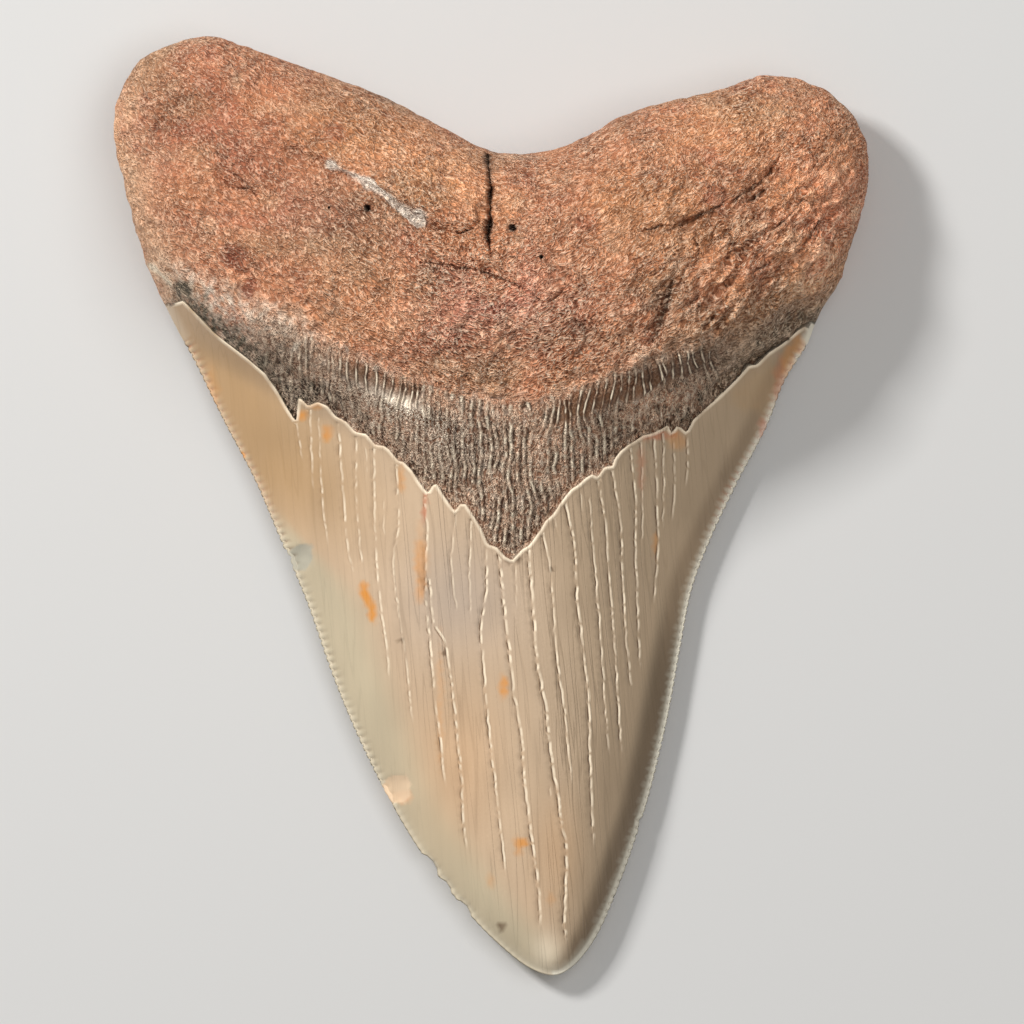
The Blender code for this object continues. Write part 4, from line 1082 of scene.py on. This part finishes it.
def tooth_data():
    """Points, triangles and, for each point, what its colour and grain are made from."""
    edge, rows, grooves = outline()
    lines = lingual_lines()
    top, top_faces, source = lingual_face(edge, rows, lines)
    under, under_faces = labial_face(edge, rows)
    count = len(edge)
    under = under[count:]
    _, rise, dark, white = lines.arrays()
    first = count + len(rows)
    from_line = (source >= first) & (source < first + lines.count)
    extra = np.zeros((len(top), 3))
    extra[from_line] = np.stack([rise, dark, white], axis=1)[source[from_line] - first]
    from_row = (source >= count) & (source < first)
    groove = np.zeros(len(top))
    groove[from_row] = grooves[source[from_row] - count]

    distance = edge_distance(top, edge)
    distance[:count] = 0
    past, band = past_enamel(top), above_band(top)
    top = np.column_stack([top, lingual_form(top, distance, past, band)])
    top[:count, 2] = edge_height(top[:count, :2])
    under_distance = edge_distance(under, edge)
    under = np.column_stack([under, labial_height(under, under_distance)])
    points = np.vstack([top, under])
    under_faces = np.where(under_faces < count, under_faces, under_faces + len(top) - count)[:, ::-1]
    faces = np.vstack([top_faces, under_faces])

    on_root = ramp(0, 0.06, past)
    root, window, inband = root_paint(top, band, past)
    colour = enamel_paint(top[:, :2], distance)
    colour += (root - colour) * on_root[:, None]
    # The lines' darkness is painted shade in their recesses, brown on the enamel and near black on the root,
    # and their cream whiteness is partly painted highlight. The grooves between serrations get painted shade
    # and worn rust.
    depths = CRACK_BROWN + (CLEFT_DARK - CRACK_BROWN) * on_root[:, None]
    worn_red = 0.5 * groove * ramp(-6, 2, top[:, 1])
    coats = (extra[:, 1], depths), (extra[:, 2], CREAM), (0.8 * groove, EDGE_SHADE_BROWN), (worn_red, RUST)
    for share, over in coats:
        share = unit(share)[:, None]
        colour = colour * (1 - share) + over * share
    under_colour, under_root = labial_paint(under, under_distance)

    shares = np.concatenate([on_root * ramp(-1, 1, band), under_root])
    shares *= 0.5 + 0.5 * ramp(0, 1.5, np.concatenate([distance, under_distance]))
    shares[len(top):] *= ramp(0, 0.6, under[:, 2])
    relief = shares * skin_relief(points)
    relief[: len(top)] += on_root * ramp(0, 1, distance) * wrinkles(top, band)
    x, y = top[:, 0], top[:, 1]
    busy = 0.85 + 0.35 * ramp(-20, -8, x)
    busy += 0.3 * mound(x, y, 0, 19, 16, 9) + 0.2 * mound(x, y, 26, 22, 9, 8)
    share = width_share(top[:, :2])
    cracked = 0.35 + 0.65 * ramp(0.16, 0.32, share) * ramp(0.95, 0.8, share)
    busy *= 1 + 0.3 * grain(x / 3.2, y / 2.8, 50)
    plain = 1 - 0.7 * unit(extra[:, 2])
    # How strongly each of the three grains shows: the root's, the band's and the enamel's
    grit = np.stack([
        on_root * (1 - inband) * busy,
        on_root * (1 - 0.9 * window) * inband * plain * (1.8 + fleck_and_sheen_patch(top, band)),
        (1 - on_root) * cracked * (0.8 + 0.5 * grain(x / 4, y / 9, 51)),
    ], axis=1)
    looks = {
        "tint": np.vstack([colour, under_colour]),
        "gloss": np.concatenate([0.36 + 0.34 * on_root - 0.3 * window, 0.38 + 0.34 * under_root]),
        "flow": strands(points, np.concatenate([on_root, under_root])),
        "grit": np.vstack([grit, np.stack([under_root, 0 * under_root, 1 - under_root], axis=1)]),
    }
    points = points + corner_normals(points, faces) * relief[:, None]
    points[: len(top), 2] += extra[:, 0] - GROOVE_DEPTH * groove
    middle = (edge.min(axis=0) + edge.max(axis=0)) / 2
    points[:, :2] -= middle
    return points * UNIT, faces, looks, middle


def tooth_material():
    material = bpy.data.materials.new("fossil tooth")
    material.use_nodes = True
    nodes, links = material.node_tree.nodes, material.node_tree.links
    shader = nodes["Principled BSDF"]
    shader.inputs["Metallic"].default_value = 0
    shader.inputs["Specular IOR Level"].default_value = SPECULAR

    def attribute(name):
        node = nodes.new("ShaderNodeAttribute")
        node.attribute_name = name
        return node

    def math_node(operation, *values):
        node = nodes.new("ShaderNodeMath")
        node.operation = operation
        for socket, value in zip(node.inputs, values):
            if isinstance(value, (int, float)):
                socket.default_value = value
            else:
                links.new(value, socket)
        return node.outputs[0]

    def fine_noise(vector, detail, distortion=0):
        node = nodes.new("ShaderNodeTexNoise")
        settings = {"Scale": 1, "Detail": detail, "Roughness": 0.6, "Distortion": distortion}
        for name, value in settings.items():
            node.inputs[name].default_value = value
        links.new(vector, node.inputs["Vector"])
        return math_node("SUBTRACT", node.outputs["Fac"], 0.5)

    def scaled(vector, scale):
        node = nodes.new("ShaderNodeVectorMath")
        node.operation = "MULTIPLY"
        node.inputs[1].default_value = scale
        links.new(vector, node.inputs[0])
        return node.outputs[0]

    def ridges(value, width):
        """Thin raised lines where the noise passes through its middle."""
        line = math_node("SUBTRACT", 1, math_node("DIVIDE", math_node("ABSOLUTE", value), width))
        line.node.use_clamp = True
        return math_node("SUBTRACT", line, RIDGE_MEAN)

    def together(first, share, second, other_share):
        return math_node("MULTIPLY_ADD", first, share, math_node("MULTIPLY", second, other_share))

    def mixed_in(share, colour):
        """A mix of a colour and a second one, which is still to be set."""
        share.node.use_clamp = True
        blend = nodes.new("ShaderNodeMix")
        blend.data_type = "RGBA"
        links.new(share, blend.inputs[MIX_SHARE])
        links.new(colour, blend.inputs[MIX_FIRST])
        return blend

    tint, flow = attribute("tint").outputs["Color"], attribute("flow").outputs["Vector"]
    where = nodes.new("ShaderNodeTexCoord").outputs["Object"]
    fibres = fine_noise(flow, 2, 0.5)
    crumbs = fine_noise(scaled(flow, CRUMB_SCALE), 1)
    threads = fine_noise(scaled(where, THREAD_SCALE), 2)
    dust = fine_noise(scaled(where, DUST_SCALE), 1)
    streaks = fine_noise(scaled(flow, STREAK_SCALE), 3)
    scratches = fine_noise(scaled(flow, SCRATCH_SCALE), 1)
    grains = nodes.new("ShaderNodeCombineXYZ")
    links.new(together(ridges(fibres, 0.1), 1.25, crumbs, 1.8), grains.inputs["X"])
    links.new(together(ridges(threads, 0.1), 1.5, dust, 0.8), grains.inputs["Y"])
    worn = together(streaks, 0.4, crumbs, 0.08)
    links.new(together(worn, 1, ridges(scratches, 0.035), -0.2), grains.inputs["Z"])
    mixed = nodes.new("ShaderNodeVectorMath")
    mixed.operation = "DOT_PRODUCT"
    links.new(grains.outputs[0], mixed.inputs[0])
    links.new(attribute("grit").outputs["Vector"], mixed.inputs[1])
    swing = mixed.outputs["Value"]

    # Painted light of the fine grain: its raised crests are lighter and mixed toward a pale highlight, and
    # its gaps are darker, partly painted shade.
    speckled = nodes.new("ShaderNodeVectorMath")
    speckled.operation = "SCALE"
    links.new(tint, speckled.inputs[0])
    links.new(math_node("MULTIPLY_ADD", swing, 0.5, MEAN_LIGHTNESS), speckled.inputs["Scale"])
    crests = mixed_in(math_node("MULTIPLY", swing, CREST_HIGHLIGHT_SHARE), speckled.outputs[0])
    crests.inputs[MIX_SECOND].default_value = (*CREST_HIGHLIGHT_COLOUR, 1)
    gaps = mixed_in(math_node("MULTIPLY", swing, -GAP_SHARE), crests.outputs[MIX_RESULT])
    links.new(scaled(tint, GAP_SHADE_TINT), gaps.inputs[MIX_SECOND])
    links.new(gaps.outputs[MIX_RESULT], shader.inputs["Base Color"])
    roughness = math_node("MULTIPLY_ADD", swing, -0.15, attribute("gloss").outputs["Fac"])
    links.new(roughness, shader.inputs["Roughness"])
    bump = nodes.new("ShaderNodeBump")
    bump.inputs["Distance"].default_value = BUMP_HEIGHT
    links.new(swing, bump.inputs["Height"])
    links.new(bump.outputs["Normal"], shader.inputs["Normal"])
    return material


def make_tooth():
    points, faces, looks, middle = tooth_data()
    points = np.clip(points, *np.array(CAD_BOX))
    mesh = bpy.data.meshes.new("tooth_fossil")
    mesh.from_pydata(points, [], faces.tolist())
    mesh.shade_smooth()
    colour = np.column_stack([looks["tint"], np.ones(len(points))])
    mesh.attributes.new("tint", "FLOAT_COLOR", "POINT").data.foreach_set("color", colour.ravel())
    mesh.attributes.new("gloss", "FLOAT", "POINT").data.foreach_set("value", looks["gloss"])
    for name in ("flow", "grit"):
        mesh.attributes.new(name, "FLOAT_VECTOR", "POINT").data.foreach_set("vector", looks[name].ravel())
    mesh.materials.append(tooth_material())
    piece = bpy.data.objects.new("tooth_fossil", mesh)
    bpy.context.scene.collection.objects.link(piece)
    return piece, middle


FLOOR_COLOUR = (0.72, 0.71, 0.69, 1)
# The lamps, which face the tooth: name, place and size in metres, power in watts
LAMPS = [("key", (-0.36, 0.30, 0.42), 0.12, 2.9), ("top", (0.22, 0.10, 0.62), 0.5, 1.6)]
AMBIENT = 0.2
LENS = 900
SENSOR = 36
FOCUS_Z = 4  # the height whose plane the photo's pixels are measured on


def make_floor():
    bpy.ops.mesh.primitive_plane_add(size=2)
    floor = bpy.context.active_object
    floor.name = "floor"
    material = bpy.data.materials.new("floor")
    material.use_nodes = True
    shader = material.node_tree.nodes["Principled BSDF"]
    shader.inputs["Base Color"].default_value = FLOOR_COLOUR
    shader.inputs["Roughness"].default_value = 0.9
    floor.data.materials.append(material)


def add_light(name, place_m, size, power):
    light = bpy.data.lights.new(name, "AREA")
    light.size = size
    light.energy = power
    lamp = bpy.data.objects.new(name, light)
    lamp.location = place_m
    lamp.rotation_euler = (-Vector(place_m)).to_track_quat("-Z", "Y").to_euler()
    bpy.context.scene.collection.objects.link(lamp)


def make_studio(middle):
    for lamp in LAMPS:
        add_light(*lamp)
    world = bpy.data.worlds.new("studio")
    world.use_nodes = True
    sky = world.node_tree.nodes["Background"].inputs
    sky["Color"].default_value = (1, 1, 1, 1)
    sky["Strength"].default_value = AMBIENT
    bpy.context.scene.world = world
    bpy.context.scene.view_settings.view_transform = "Standard"

    camera = bpy.data.cameras.new("camera")
    camera.lens = LENS
    camera.sensor_width = SENSOR
    seen = PHOTO_SIDE * PIXEL * UNIT
    away = seen * LENS / SENSOR
    centre = np.array(place(PHOTO_SIDE / 2, PHOTO_SIDE / 2)) - middle
    eye = bpy.data.objects.new("camera", camera)
    eye.location = (centre[0] * UNIT, centre[1] * UNIT, away + FOCUS_Z * UNIT)
    camera.clip_end = 10
    bpy.context.scene.collection.objects.link(eye)
    bpy.context.scene.camera = eye


piece, drawing_middle = make_tooth()
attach(piece, "root")
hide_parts("tooth")
make_floor()
make_studio(drawing_middle)
